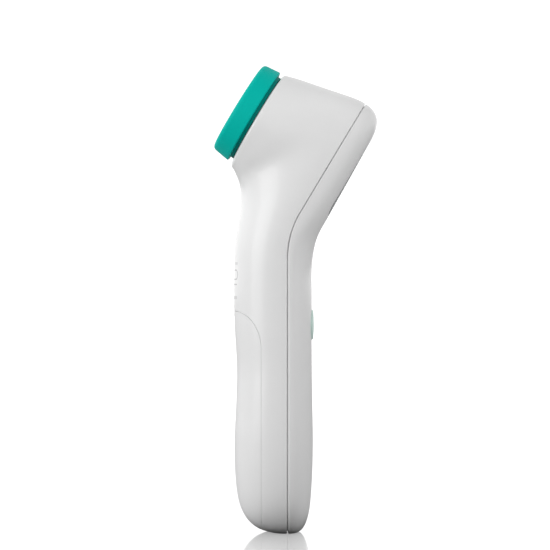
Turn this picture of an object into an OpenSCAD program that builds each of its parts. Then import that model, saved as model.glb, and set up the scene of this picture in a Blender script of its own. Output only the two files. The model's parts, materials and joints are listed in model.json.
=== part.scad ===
// Infrared ear thermometer with a pull-off forehead cap.
// Millimetres. +Z is up, +X is the display side and -X is the side that the nose points to.
// The origin is the middle of the foot, on the plane where the two casing halves meet.

/* [Casing] */
// Reach of the handle in front of the parting plane
front_depth = 17.5; // [17.3:0.1:18]
// Reach of the handle behind the parting plane
rear_depth = 8.05; // [8:0.05:8.3]
// Half the width of the handle
half_width = 16.2; // [16.1:0.1:17]
// Half the width of the head
head_half_width = 19; // [18.8:0.1:20]
// Wall of the casing, the rear cover and the battery door
wall = 1.8; // [1.6:0.1:1.8]
// Shadow gap where two casing parts meet
seam = 0.3; // [0.2:0.05:0.4]

/* [Head] */
// Lean of the nose axis above the horizontal, in degrees
head_tilt = 31; // [30:0.5:32]
// Height at which the handle bends into the head
bend_height = 98; // [97:0.5:99]
// Radius of the parting line's bend
bend_radius = 28; // [26:1:30]
// Distance of the nose face in front of the parting plane
nose_depth = 28; // [27.8:0.1:28.4]
// Radius of the nose face
nose_r = 16.8; // [16.6:0.1:17]
// Distance of the nose axis above the bend
nose_rise = 27.6; // [27.4:0.1:27.8]

/* [Forehead cap] */
// Thickness of the cap
cap_h = 7.4; // [7.2:0.1:7.6]
// Shadow gap between the cap and the nose face
cap_gap = 0.3; // [0.2:0.1:0.5]
// Radius of the cap at its back
cap_back_r = 16.8; // [16.6:0.1:17]
// Radius of the cap at its front
cap_front_r = 16; // [15.8:0.1:16.2]
// Radius of the cap's neck, the floor of the groove behind the cap
cap_neck_r = 15.3; // [15.2:0.1:15.5]
// Length of the neck
cap_neck_h = 1.1; // [0.8:0.1:1.2]
// Radius of the cap's opening for the probe
cap_opening_r = 6.4; // [6.3:0.1:6.8]
// Radius of the collar that the cap slides on
collar_r = 14; // [13.9:0.1:14.1]
// Height of the collar
collar_h = 3; // [2.8:0.1:3]
// Sliding clearance of the cap on its collar
cap_clearance = 0.15; // [0.1:0.05:0.2]

/* [Probe] */
// Radius of the probe cone at its base
probe_base_r = 7.6; // [7.2:0.1:7.8]
// Radius of the probe tip
probe_tip_r = 4.2; // [4:0.1:4.3]
// Distance of the probe tip in front of the nose face
probe_reach = 6.6; // [6.2:0.1:6.8]

/* [Batteries] */
// Radius of an AAA cell
cell_r = 5.25; // [5:0.05:5.25]
// Length of an AAA cell with its terminal
cell_length = 44.5; // [44:0.1:44.5]

/* [Button and display] */
// Height of the button's centre above the foot
button_height = 68.2; // [67.5:0.1:69]
// Radius of the button
button_r = 5; // [4.8:0.1:5.1]
// How far the button stands proud of the back
button_proud = 0.7; // [0.5:0.05:0.8]
// Travel of the button
button_travel = 0.4; // [0.3:0.05:0.4]
// Width of the display window
window_w = 23; // [22:0.5:23.5]
// Height of the display window
window_h = 28; // [27:0.5:29]

/* [Hidden] */

eps = 0.01;
// Length of a cut that starts inside the casing and must come out of it.
cut_h = 18;
// The tones of the casing, the cap and the pieces inside.
white = [0.93, 0.93, 0.93];
inner_white = [0.86, 0.87, 0.87];
teal = [0.0, 0.68, 0.61];
board_green = [0.06, 0.36, 0.22];
steel = [0.75, 0.76, 0.78];
brass = [0.80, 0.62, 0.30];
gold = [0.90, 0.72, 0.35];
dark = [0.10, 0.10, 0.11];
amber = [0.85, 0.55, 0.20];
silver = [0.72, 0.74, 0.76];

// ---------------------------------------------------------------- frames

// The head's own frame: x runs up the head, y across it and z out along the nose axis,
// from the point where the straight parting lines of handle and head would meet.
module head_frame() {
    translate([0, 0, bend_height]) rotate([0, head_tilt - 90, 0]) children();
}
function head_x(rise, out) = rise * sin(head_tilt) - out * cos(head_tilt);
function head_z(rise, out) = bend_height + rise * cos(head_tilt) + out * sin(head_tilt);

// A round ring or disc along z.
module ring(outer, inner, h) {
    difference() {
        cylinder(r = outer, h = h, $fn = 64);
        if (inner > 0) translate([0, 0, -1]) cylinder(r = inner, h = h + 2, $fn = 64);
    }
}

// A flat plate with rounded corners, centred on x and y.
module plate(x, y, h, r) {
    linear_extrude(h) {
        square([x, y - 2 * r], center = true);
        square([x - 2 * r, y], center = true);
        for (sx = [-1, 1], sy = [-1, 1])
            translate([sx * (x / 2 - r), sy * (y / 2 - r)]) circle(r, $fn = 32);
    }
}

// ---------------------------------------------------------------- body surface

// Level sections of the handle: height, reach to the front, reach to the rear and half width,
// the last three as shares of the handle's own sizes.
handle_rows = [
    [0, 0.32, 0.44, 0.44],
    [1, 0.53, 0.62, 0.60],
    [2.5, 0.675, 0.74, 0.72],
    [5, 0.80, 0.85, 0.82],
    [8.5, 0.895, 0.925, 0.90],
    [13, 0.95, 0.97, 0.95],
    [20, 0.985, 1.02, 0.985],
    [30, 0.995, 1.045, 1.005],
    [42, 0.965, 1.02, 1.00],
    [54, 0.95, 1.00, 0.99],
    [66, 0.99, 0.995, 1.00],
    [78, 1.01, 1.00, 1.01],
    [88, 1.00, 1.005, 1.03],
];
// Sections that fan round the neck, in the head's frame: rise and reach of the front end, rise and
// reach of the rear end, half width as a share of the head's, place of the widest point as a share
// of the section, and fullness of the front and rear halves (2 is an ellipse).
head_rows = [
    [-12.0, 13.0, 4.0, -8.8, 0.90, 0.69, 2.2, 2.3],
    [-7.0, 15.2, 11.8, -8.6, 0.93, 0.69, 2.2, 2.8],
    [-2.7, 16.8, 20.3, -8.35, 0.96, 0.68, 2.2, 3.4],
    [0.9, 18.5, 29.2, -8.1, 0.98, 0.67, 2.2, 3.9],
    [3.9, 20.3, 37.5, -7.8, 0.995, 0.66, 2.2, 4.2],
    [6.0, 22.0, 43.9, -7.5, 1.00, 0.65, 2.2, 4.2],
    [7.1, 23.2, 48.9, -5.7, 1.00, 0.64, 2.2, 3.9],
    [7.9, 24.3, 50.2, 0.6, 0.99, 0.62, 2.2, 3.4],
    [8.7, 25.4, 48.6, 8.8, 0.97, 0.59, 2.2, 2.8],
    [9.35, 26.5, 47.0, 17, 0.935, 0.55, 2.1, 2.3],
    [9.7, 27.3, 45.8, 23, 0.91, 0.52, 2.0, 2.1],
];
handle_fullness = [2.2, 2.1];

// One station of the loft: front x and z, rear x and z, half width, widest share, two fullnesses.
stations = [
    for (r = handle_rows)
        [
            -front_depth * r[1], r[0], rear_depth * r[2], r[0], half_width * r[3],
            front_depth * r[1] / (front_depth * r[1] + rear_depth * r[2]),
            handle_fullness[0], handle_fullness[1],
        ],
    for (r = head_rows)
        [
            head_x(r[0], r[1]), head_z(r[0], r[1]), head_x(r[2], r[3]), head_z(r[2], r[3]),
            head_half_width * r[4], r[5], r[6], r[7],
        ],
    [
        head_x(nose_rise - nose_r, nose_depth), head_z(nose_rise - nose_r, nose_depth),
        head_x(nose_rise + nose_r, nose_depth), head_z(nose_rise + nose_r, nose_depth),
        nose_r, 0.5, 2, 2,
    ],
];
last = len(stations) - 1;

// The loft's parameter is the mean distance travelled by the two ends of the sections.
function end_step(i, k) =
    norm([stations[i + 1][k] - stations[i][k], stations[i + 1][k + 1] - stations[i][k + 1]]);
function step_length(i) = (end_step(i, 0) + end_step(i, 2)) / 2;
knots = [
    for (i = 0, s = 0; i <= last; s = s + (i < last ? step_length(i) : 0), i = i + 1) s
];
function slope(i) = (stations[i + 1] - stations[i]) / (knots[i + 1] - knots[i]);
function tangent(i) =
    i == 0 ? slope(0)
    : i == last ? slope(last - 1)
    : (slope(i) * (knots[i] - knots[i - 1]) + slope(i - 1) * (knots[i + 1] - knots[i]))
        / (knots[i + 1] - knots[i - 1]);
// A cubic from station i to the next one, at a share f of the way.
function station_at(i, f) =
    let (h = knots[i + 1] - knots[i], f2 = f * f, f3 = f * f * f)
    stations[i] * (2 * f3 - 3 * f2 + 1) + stations[i + 1] * (3 * f2 - 2 * f3)
        + tangent(i) * h * (f3 - 2 * f2 + f) + tangent(i + 1) * h * (f3 - f2);

// Spacing of the sections along the body, and number of points round each.
section_spacing = 4.2;
ring_points = 32;
sections = [
    for (i = [0 : last - 1])
        let (n = ceil(max(end_step(i, 0), end_step(i, 2)) / section_spacing))
        for (j = [0 : n - 1]) station_at(i, j / n),
    stations[last],
];

function signed_power(v, p) = sign(v) * pow(abs(v), p);
// A point of a section at an angle: 0 is the rear end, 90 the widest point, 180 the front end.
function section_point(s, a) =
    let (
        length = norm([s[2] - s[0], s[3] - s[1]]),
        along = [s[2] - s[0], s[3] - s[1]] / length,
        rear = cos(a) > 0,
        power = 2 / (rear ? s[7] : s[6]),
        reach = length * (rear ? 1 - s[5] : s[5]) * signed_power(cos(a), power),
        place = [s[0], s[1]] + along * (length * s[5] + reach)
    )
    [place[0], s[4] * signed_power(sin(a), power), place[1]];

body_grid = [
    for (s = sections) [for (j = [0 : ring_points - 1]) section_point(s, 360 * j / ring_points)]
];

// The grid moved inwards along its own normals.
function inward(grid, i, j, d) =
    let (
        m = len(grid) - 1, n = len(grid[0]),
        along = grid[min(i + 1, m)][j] - grid[max(i - 1, 0)][j],
        round = grid[i][(j + 1) % n] - grid[i][(j + n - 1) % n],
        outward = cross(round, along)
    )
    grid[i][j] - outward * (d / norm(outward));
function inset(grid, d) =
    d == 0 ? grid
    : [for (i = [0 : len(grid) - 1]) [for (j = [0 : len(grid[0]) - 1]) inward(grid, i, j, d)]];

// A closed solid through a grid of rings.
module skin(grid) {
    m = len(grid);
    n = len(grid[0]);
    points = [for (r = grid) for (p = r) p];
    faces = [
        [for (j = [0 : n - 1]) j],
        for (i = [0 : m - 2]) for (j = [0 : n - 1])
            let (a = i * n + j, b = i * n + (j + 1) % n)
            each [[a, a + n, b + n], [a, b + n, b]],
        [for (j = [n - 1 : -1 : 0]) (m - 1) * n + j],
    ];
    polyhedron(points = points, faces = faces, convexity = 6);
}

// The body, or the space inside it at a depth d below its surface.
module body(d) {
    difference() {
        skin(inset(body_grid, d));
        if (d > 0) {
            translate([-50, -50, -50 + d]) cube([100, 100, 50]);
            head_frame() translate([-40, -50, nose_depth - d]) cube([120, 100, 50]);
        }
    }
}
// A freeform piece, evaluated as one mesh.
module freeform() { resize([0, 0, 0]) children(); }

// ---------------------------------------------------------------- parting line and door outline

// Points of the parting line in the side view, moved by d towards the display side.
function parting_line(d) = [
    [d, -20],
    for (a = [0 : head_tilt / 8 : head_tilt])
        [bend_radius - (bend_radius - d) * cos(a), parting_bend_start + (bend_radius - d) * sin(a)],
    [head_x(90, -d), head_z(90, -d)],
];
parting_bend_start = bend_height - bend_radius * tan(head_tilt / 2);

module side_prism(points) {
    rotate([90, 0, 0]) linear_extrude(100, center = true) polygon(points);
}
// Everything on the display side of the parting line moved by d.
module behind_parting(d) {
    side_prism([each parting_line(d), [150, 120], [150, -20]]);
}

door_edge_x = -8.6;
door_arch_base = 60.4;
door_arch_h = 12.3;
door_arch_w = 9;
// The battery door's outline in the side view, made smaller all round by d.
module door_prism(d) {
    w = door_arch_w - d;
    h = door_arch_h - d;
    x = door_edge_x - door_arch_w;
    side_prism([
        [x - 10, -20], [door_edge_x - d, -20],
        for (a = [0 : 9 : 90]) [x + w * cos(a), door_arch_base + h * sin(a)],
        [x - 10, door_arch_base + h],
    ]);
}

// ---------------------------------------------------------------- casing

// Case screws: side and height; two above the batteries and one below them.
case_screw_spots = [[-9.5, 68], [9.5, 68], [0, 7.4]];
case_screw_r = 1;
case_boss_r = 2.6;
bulkhead_x = -3.8;
bulkhead_t = 1.6;
// Lower edge and height of the upper bulkhead, and height of the one in the foot.
bulkhead_low = 63;
bulkhead_h = 11;
foot_bulkhead_h = 11;
lip_h = 1.4;
lip_t = 1.0;
lip_gap = 0.15;
window_rise = 26;
window_corner = 4.5;
window_gap = 0.12;
window_ledge = 1.5;
window_t = 1.1;
keeper_t = 0.8;
keeper_outer = 13.4;
keeper_inner = 11.2;
collar_inner_r = 10.6;
flange_r = 13.8;
flange_t = 1.8;
holder_flange_t = 1.6;
probe_screw_ring = 12.3;
probe_screw_r = 0.8;
probe_screw_angles = [30, 150, 270];
board_t = 1.2;
board_screw_spots = [[8.5, -12], [8.5, 12], [42, -11.5], [42, 11.5]];
board_screw_r = 0.8;
board_boss_r = 2;
button_board_x = 0.3;
button_board_screws_z = [61.5, 79.5];

// A point on the nose axis at a distance out from the parting plane.
module on_nose(out) { head_frame() translate([nose_rise, 0, out]) children(); }
// A point on the handle, with z pointing to the display side.
module on_handle(x, side, height) { translate([x, side, height]) rotate([0, 90, 0]) children(); }

// The cross walls that the case screws clamp.
module bulkheads() {
    intersection() {
        body(wall / 2);
        union() {
            translate([bulkhead_x, -30, bulkhead_low]) cube([bulkhead_t, 60, bulkhead_h]);
            translate([bulkhead_x, -30, -1]) cube([bulkhead_t, 60, foot_bulkhead_h + 1]);
        }
    }
}
module case_screw_holes(r) {
    for (s = case_screw_spots) on_handle(-10, s[0], s[1]) cylinder(r = r, h = 14.4, $fn = 24);
}

module front_shell() {
    color(white) freeform() difference() {
        union() {
            difference() {
                body(0);
                body(wall);
            }
            bulkheads();
            // The ring on the nose face that carries the cap and takes the probe's screws.
            on_nose(nose_depth - 0.5) cylinder(r = collar_r, h = collar_h + 0.5, $fn = 64);
        }
        behind_parting(-seam / 2);
        door_prism(-seam / 2);
        on_nose(nose_depth - 4) cylinder(r = collar_inner_r, h = 10, $fn = 64);
        on_nose(nose_depth - wall - 1) for (a = probe_screw_angles)
            rotate(a) translate([probe_screw_ring, 0, 0])
                cylinder(r = probe_screw_r + 0.05, h = wall + 2.6, $fn = 24);
        on_nose(nose_depth + collar_h - keeper_t) ring(keeper_outer + 0.05, keeper_inner - 0.05, 2);
        case_screw_holes(case_screw_r + 0.1);
    }
}

module window_prism(inset, depth) {
    head_frame() translate([window_rise, 0, -20])
        plate(window_h - 2 * inset, window_w - 2 * inset, depth, window_corner - inset);
}

module cover_bosses() {
    for (s = case_screw_spots) on_handle(bulkhead_x + bulkhead_t + 1.2, s[0], s[1])
        cylinder(r = case_boss_r, h = 12, $fn = 24);
    for (z = button_board_screws_z) on_handle(button_board_x + board_t, 0, z)
        cylinder(r = board_boss_r, h = 10, $fn = 24);
    head_frame() for (p = board_screw_spots) translate([p[0], p[1], -board_t - 12])
        cylinder(r = board_boss_r, h = 12, $fn = 24);
}
module cover_bores() {
    for (s = case_screw_spots) on_handle(-3, s[0], s[1])
        cylinder(r = case_screw_r + 0.05, h = 7.4, $fn = 24);
    for (z = button_board_screws_z) on_handle(0, 0, z)
        cylinder(r = board_screw_r + 0.05, h = 4.8, $fn = 24);
    head_frame() for (p = board_screw_spots) translate([p[0], p[1], -4.6])
        cylinder(r = board_screw_r + 0.05, h = 5, $fn = 24);
}

// A layer of the body between two depths, and between two offsets of the parting line.
module parting_band(outer, inner, from, to) {
    difference() {
        body(outer);
        body(inner);
        behind_parting(to);
        side_prism([[-60, -20], [-60, 200], [head_x(90, -from), head_z(90, -from)],
            each reverse(parting_line(from))]);
    }
}
// The tongue inside the cover's rim, which locates the front shell, and its root in the wall.
module cover_lip() {
    parting_band(wall + lip_gap, wall + lip_gap + lip_t, -lip_h, 0.9);
    parting_band(wall - 0.3, wall + lip_gap + lip_t + 0.1, 0.5, 1.7);
}
function reverse(list) = [for (i = [len(list) - 1 : -1 : 0]) list[i]];

module rear_cover() {
    color(white) freeform() difference() {
        union() {
            difference() {
                intersection() {
                    body(0);
                    behind_parting(seam / 2);
                }
                body(wall);
            }
            cover_lip();
            intersection() {
                body(wall / 2);
                cover_bosses();
            }
        }
        difference() {
            window_prism(0, cut_h);
            body(window_t);
        }
        window_prism(window_ledge, cut_h);
        on_handle(3, 0, button_height) cylinder(r = button_r + 0.2, h = 10, $fn = 48);
        on_handle(2, 0, button_height) cylinder(r = button_flange_r + 0.4, h = 4.2, $fn = 48);
        cover_bores();
    }
}

tongue_w = 8;

module battery_door() {
    tongue_root = door_arch_base + door_arch_h - 6;
    color(white) freeform() {
        intersection() {
            difference() {
                body(0);
                body(wall);
            }
            door_prism(seam / 2);
        }
        // Snap tongue that reaches under the shell above the arch.
        translate([-front_depth + wall + 0.1, -tongue_w / 2, tongue_root])
            cube([1.4, tongue_w, 5.6]);
        translate([-front_depth + wall + 0.5, -tongue_w / 2, tongue_root])
            cube([1, tongue_w, 8.6]);
    }
}

front_shell();
rear_cover();
battery_door();

// ---------------------------------------------------------------- fasteners

// A pan-head screw pointing down, with the underside of its head on z = 0.
module screw(r, length, head_r, head_h) {
    difference() {
        union() {
            translate([0, 0, -length + 0.8]) cylinder(r = r, h = length - 0.8 + eps, $fn = 32);
            translate([0, 0, -length]) cylinder(r1 = r * 0.4, r2 = r, h = 0.8 + eps, $fn = 32);
            cylinder(r = head_r, h = head_h * 0.6 + eps, $fn = 32);
            translate([0, 0, head_h * 0.6])
                cylinder(r1 = head_r, r2 = head_r * 0.72, h = head_h * 0.4, $fn = 32);
        }
        for (a = [0, 90]) rotate(a) translate([-head_r * 0.6, -head_r * 0.14, head_h * 0.45])
            cube([head_r * 1.2, head_r * 0.28, head_h]);
    }
}

module case_screws() {
    color(steel) for (s = case_screw_spots)
        on_handle(bulkhead_x, s[0], s[1]) rotate([180, 0, 0]) screw(case_screw_r, 7.6, 1.9, 1.4);
}
module probe_screws() {
    color(steel) on_nose(nose_depth - wall - flange_t - holder_flange_t)
        for (a = probe_screw_angles) rotate(a) translate([probe_screw_ring, 0, 0])
            rotate([180, 0, 0]) screw(probe_screw_r, 6.2, 1.45, 1.2);
}
module board_screws() {
    color(steel) head_frame() for (p = board_screw_spots) translate([p[0], p[1], 0])
        screw(board_screw_r, 4.2, 1.45, 1);
}
module button_board_screws() {
    color(steel) for (z = button_board_screws_z)
        on_handle(button_board_x, 0, z) rotate([180, 0, 0]) screw(board_screw_r, 4, 1.45, 1);
}
module sensor_screws() {
    color(steel) on_nose(sensor_board_z) for (a = sensor_screw_angles)
        rotate(a) translate([sensor_screw_ring, 0, 0]) rotate([180, 0, 0]) screw(0.6, 4, 1.05, 0.8);
}

case_screws();
probe_screws();
board_screws();
button_board_screws();
sensor_screws();

// ---------------------------------------------------------------- forehead cap

// Roundings of the cap's front edge, of the edge at its groove and of its opening.
cap_round = 2;
groove_round = 0.5;
opening_round = 0.6;
cap_dish_r = 12.6;
cap_dish_depth = 1.1;
cap_recess_r = collar_r + cap_clearance;
cap_recess_h = collar_h - cap_gap + 0.2;
magnet_r = 1.6;
magnet_h = 1.2;
magnet_angles = [90, 210, 330];

// Profile of the cap from its back plane: neck, straight taper, rounded rim and a shallow dish.
module cap_profile() {
    taper = (cap_back_r - cap_front_r) / cap_h;
    polygon([
        [cap_recess_r, 0], [cap_neck_r, 0], [cap_neck_r, cap_neck_h],
        for (a = [-90 : 30 : 0])
            [
                cap_back_r - groove_round * (1 - cos(a)),
                cap_neck_h + groove_round * (1 + sin(a)),
            ],
        for (a = [0 : 10 : 90])
            [
                cap_back_r - (cap_h - cap_round) * taper - cap_round * (1 - cos(a)),
                cap_h - cap_round * (1 - sin(a)),
            ],
        for (i = [0 : 6])
            [
                cap_dish_r - (cap_dish_r - cap_opening_r - opening_round) * i / 6,
                cap_h - cap_dish_depth * sin(15 * i),
            ],
        for (a = [0 : 30 : 90])
            [
                cap_opening_r + opening_round * (1 - sin(a)),
                cap_h - cap_dish_depth - opening_round * (1 - cos(a)),
            ],
        [cap_opening_r, cap_recess_h], [cap_recess_r, cap_recess_h],
    ]);
}
module forehead_cap() {
    color(teal) on_nose(nose_depth + cap_gap) difference() {
        rotate_extrude($fn = 96) cap_profile();
        for (a = magnet_angles) rotate(a) translate([probe_screw_ring, 0, 0])
            cylinder(r = magnet_r + 0.05, h = cap_recess_h + magnet_h, $fn = 32);
    }
}
module cap_magnets() {
    color(steel) on_nose(nose_depth + cap_gap + cap_recess_h) for (a = magnet_angles)
        rotate(a) translate([probe_screw_ring, 0, 0]) cylinder(r = magnet_r, h = magnet_h, $fn = 32);
}
module keeper_ring() {
    color(steel) on_nose(nose_depth + collar_h - keeper_t) ring(keeper_outer, keeper_inner, keeper_t);
}

forehead_cap();
cap_magnets();
keeper_ring();

// ---------------------------------------------------------------- probe and sensor

tube_r = 2.6;
tube_wall = 0.4;
tip_round = 0.8;
tip_recess = 0.9;
cone_hollow = 0.5;
flange_z = nose_depth - wall - flange_t;
holder_z = flange_z - holder_flange_t;
sensor_board_z = 11;
holder_base_z = sensor_board_z + board_t;
holder_r = 8.2;
can_h = 4.8;
can_r = 4.1;
can_flange_r = 4.5;
can_flange_t = 0.8;
pin_ring = 2.4;
sensor_screw_ring = 6.4;
sensor_screw_angles = [0, 180];
probe_tip_z = nose_depth + probe_reach;

module probe_cone() {
    base_z = nose_depth - wall;
    h = probe_tip_z - base_z;
    color(inner_white) on_nose(0) difference() {
        union() {
            translate([0, 0, flange_z]) cylinder(r = flange_r, h = flange_t, $fn = 64);
            // A slightly hollow cone with a rounded lip.
            translate([0, 0, base_z - eps]) rotate_extrude($fn = 64) polygon([
                [0, 0], [probe_base_r + 1, 0],
                for (i = [0 : 8])
                    let (f = i / 8)
                    [
                        probe_base_r + (probe_tip_r - probe_base_r) * f - cone_hollow * sin(180 * f),
                        0.3 + (h - tip_round - 0.3) * f,
                    ],
                for (a = [0 : 15 : 90])
                    [probe_tip_r - tip_round * (1 - cos(a)), h - tip_round * (1 - sin(a))],
                [0, h],
            ]);
        }
        translate([0, 0, flange_z - 1]) cylinder(r = tube_r + 0.1, h = 20, $fn = 48);
        translate([0, 0, probe_tip_z - tip_recess]) cylinder(r = tube_r + 0.5, h = 2, $fn = 48);
        for (a = probe_screw_angles) rotate(a) translate([probe_screw_ring, 0, flange_z - 1])
            cylinder(r = probe_screw_r + 0.1, h = flange_t + 2, $fn = 24);
    }
}
module probe_window() {
    color([0.18, 0.19, 0.22]) on_nose(probe_tip_z - tip_recess)
        cylinder(r = tube_r + 0.4, h = 0.6, $fn = 48);
}
module waveguide_tube() {
    color(gold) on_nose(holder_base_z + can_h + 0.2)
        ring(tube_r, tube_r - tube_wall, probe_tip_z - tip_recess - holder_base_z - can_h - 0.3);
}
module sensor_holder() {
    color(inner_white) on_nose(0) difference() {
        union() {
            translate([0, 0, holder_base_z])
                cylinder(r = holder_r, h = holder_z - holder_base_z + eps, $fn = 48);
            translate([0, 0, holder_z]) cylinder(r = flange_r, h = holder_flange_t, $fn = 64);
        }
        translate([0, 0, holder_base_z - 1])
            cylinder(r = can_flange_r + 0.1, h = can_h + 1.2, $fn = 48);
        translate([0, 0, holder_base_z]) cylinder(r = tube_r + 0.05, h = 20, $fn = 48);
        for (a = probe_screw_angles) rotate(a) translate([probe_screw_ring, 0, holder_z - 1])
            cylinder(r = probe_screw_r + 0.1, h = 5, $fn = 24);
        for (a = sensor_screw_angles) rotate(a) translate([sensor_screw_ring, 0, holder_base_z - 1])
            cylinder(r = 0.65, h = 4.2, $fn = 24);
    }
}
module thermopile_sensor() {
    color(gold) on_nose(holder_base_z) {
        cylinder(r = can_flange_r, h = can_flange_t, $fn = 48);
        translate([0, 0, can_flange_t - eps]) difference() {
            cylinder(r = can_r, h = can_h - can_flange_t + eps, $fn = 48);
            translate([0, 0, can_h - 1.1]) cylinder(r = 1.7, h = 1, $fn = 32);
        }
        for (a = [45 : 90 : 315]) rotate(a) translate([pin_ring, 0, -2.2])
            cylinder(r = 0.22, h = 2.3, $fn = 16);
    }
}
module sensor_board() {
    color(board_green) on_nose(sensor_board_z) difference() {
        cylinder(r = holder_r, h = board_t, $fn = 48);
        for (a = [45 : 90 : 315]) rotate(a) translate([pin_ring, 0, -1])
            cylinder(r = 0.3, h = 4, $fn = 16);
        for (a = sensor_screw_angles) rotate(a) translate([sensor_screw_ring, 0, -1])
            cylinder(r = 0.7, h = 4, $fn = 24);
    }
}
// The magnetic switch that tells whether the cap is on.
module cap_detector() {
    color(dark) on_nose(holder_z) translate([0, 11, -1.5]) plate(3, 4, 1.5, 0.3);
}
// A flat cable through points of the side view, on the left of its path.
function direction(list, i) =
    let (d = list[min(i + 1, len(list) - 1)] - list[max(i - 1, 0)]) d / norm(d);
module flat_cable(path, w, t) {
    left = [for (i = [0 : len(path) - 1])
        let (d = direction(path, i)) path[i] + t * [-d[1], d[0]]];
    rotate([90, 0, 0]) linear_extrude(w, center = true) polygon([each path, each reverse(left)]);
}
module sensor_cable() {
    color(amber) head_frame()
        flat_cable([[24.6, sensor_board_z], [24.4, 9.6], [22, 6.8], [18.4, 4.4], [17.4, 1.8]], 5, 0.3);
}

probe_cone();
probe_window();
waveguide_tube();
sensor_holder();
thermopile_sensor();
sensor_board();
cap_detector();
sensor_cable();

// ---------------------------------------------------------------- display and main board

frame_depth = 4;
panel_l = 25;
panel_w = 22;
panel_t = 2;
// Height of the display panel's back above the main board.
panel_z = 1.8;

module display_window() {
    color([0.55, 0.60, 0.62]) freeform() difference() {
        intersection() {
            body(0);
            window_prism(window_gap, cut_h);
        }
        body(window_t - 0.02);
    }
}
module lcd_frame() {
    color(inner_white) head_frame() translate([window_rise, 0, -board_t - frame_depth]) difference() {
        plate(panel_l + 2, panel_w + 2, frame_depth, 1);
        translate([0, 0, -1]) plate(panel_l + 0.1, panel_w + 0.1, frame_depth - panel_z + 1, 0.4);
        plate(panel_l - 2, panel_w - 1.6, 20, 0.4);
    }
}
module lcd_panel() {
    color([0.62, 0.68, 0.62]) head_frame() translate([window_rise, 0, -board_t - panel_z - panel_t])
        plate(panel_l, panel_w, panel_t, 0.3);
}
module backlight_panel() {
    color([0.9, 0.95, 0.9]) head_frame() translate([window_rise + 1.4, 0, -board_t - panel_z])
        plate(20, 20, 1.2, 0.5);
}
module contact_strip() {
    color(dark) head_frame() translate([window_rise - 10.4, 0, -board_t - panel_z])
        plate(1.6, 18, panel_z, 0.2);
}
module main_board() {
    color(board_green) head_frame() difference() {
        translate([25.25, 0, -board_t]) plate(40.5, 28, board_t, 6);
        for (p = board_screw_spots) translate([p[0], p[1], -3])
            cylinder(r = board_screw_r + 0.1, h = 5, $fn = 24);
    }
}
module control_chip() {
    color(dark) head_frame() translate([26, 0, 0]) plate(7, 7, 1, 0.2);
}
// Small parts soldered to the main board: a cable socket, a crystal and rows of capacitors.
module board_components() {
    color([0.70, 0.62, 0.50]) head_frame() {
        translate([17.4, 0, 0]) plate(3, 7, 1.6, 0.3);
        translate([20, -7.5, 0]) plate(4.5, 2.2, 1.4, 0.8);
        for (i = [0 : 4]) translate([18 + 3 * i, 7.5, 0]) plate(1.6, 0.9, 0.8, 0.1);
        for (i = [0 : 3]) translate([26 + 3 * i, -7.5, 0]) plate(1, 2, 0.9, 0.1);
    }
}
module buzzer() {
    color(dark) head_frame() translate([37.5, 0, 0]) ring(5.4, 1, 3);
}

display_window();
lcd_frame();
lcd_panel();
backlight_panel();
contact_strip();
main_board();
control_chip();
board_components();
buzzer();

// ---------------------------------------------------------------- button and switch

button_flange_r = 6;
button_flange_x = 5.4;
button_flange_t = 0.6;
button_round = 0.6;
button_board_z = 70.5;
switch_x = button_board_x + board_t;
switch_h = 2.5;
plunger_r = 1.6;
// What still stands out of the switch when the button is pressed.
plunger_rest = 0.5;
plunger_top = switch_x + switch_h + button_travel + plunger_rest;

module scan_button() {
    top = rear_depth + button_proud - plunger_top - 0.1;
    flange = button_flange_x - plunger_top - 0.1;
    color([0.66, 0.86, 0.80]) on_handle(plunger_top + 0.1, 0, button_height)
        rotate_extrude($fn = 64) polygon([
            [0, 0], [1.5, 0], [1.5, flange], [button_flange_r, flange],
            [button_flange_r, flange + button_flange_t],
            [button_r - 0.05, flange + button_flange_t],
            for (a = [0 : 15 : 90])
                [
                    button_r - 0.05 - button_round * (1 - cos(a)),
                    top - 0.3 - button_round * (1 - sin(a)),
                ],
            for (i = [1 : 5]) [(button_r - 0.65) * (1 - i / 5), top - 0.3 * pow(1 - i / 5, 2)],
        ]);
}
module switch_body() {
    color(dark) on_handle(switch_x, 0, button_height) difference() {
        plate(6, 6, switch_h, 0.4);
        translate([0, 0, 0.5]) cylinder(r = plunger_r + 0.1, h = 5, $fn = 32);
    }
}
module switch_plunger() {
    color([0.8, 0.8, 0.78]) on_handle(switch_x + 1.2, 0, button_height)
        cylinder(r = plunger_r, h = plunger_top - switch_x - 1.2, $fn = 32);
}
module button_board() {
    color(board_green) on_handle(button_board_x, 0, button_board_z) difference() {
        plate(24, 12.8, board_t, 1);
        for (z = button_board_screws_z) translate([button_board_z - z, 0, -1])
            cylinder(r = board_screw_r + 0.1, h = 4, $fn = 24);
    }
}
// A flat cable through the neck, from the button's board to the main board.
module board_ribbon() {
    color(amber) flat_cable([
        [button_board_x, 81.6], [button_board_x - 0.1, 84], [-0.5, 89], [-0.4, 95], [0.8, 99.5],
        [head_x(6, 0.3), head_z(6, 0.3)], [head_x(10, 0.02), head_z(10, 0.02)],
    ], 7, 0.3);
}

scan_button();
switch_body();
switch_plunger();
button_board();
board_ribbon();

// ---------------------------------------------------------------- batteries

cell_x = -7.4;
cell_y = 5.5;
tray_back_x = bulkhead_x + bulkhead_t + 0.1;
tray_t = 1;
tray_w = 22;
tray_floor = 12;
tray_wall = 1.2;
tray_end_r = 4.7;
plate_t = 0.3;
// Width of the tabs on the upper contacts.
tab_w = 2.2;
spring_h = 2.8;
spring_base_r = 3.6;
spring_top_r = 2.2;
spring_turns = 3;
spring_wire_r = 0.3;
lower_plate = tray_floor + tray_wall;
left_base = lower_plate + plate_t + spring_h;
upper_plate = left_base + cell_length + 0.1;
right_tip = lower_plate + plate_t + 0.1;
tray_top = upper_plate + plate_t;

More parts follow.
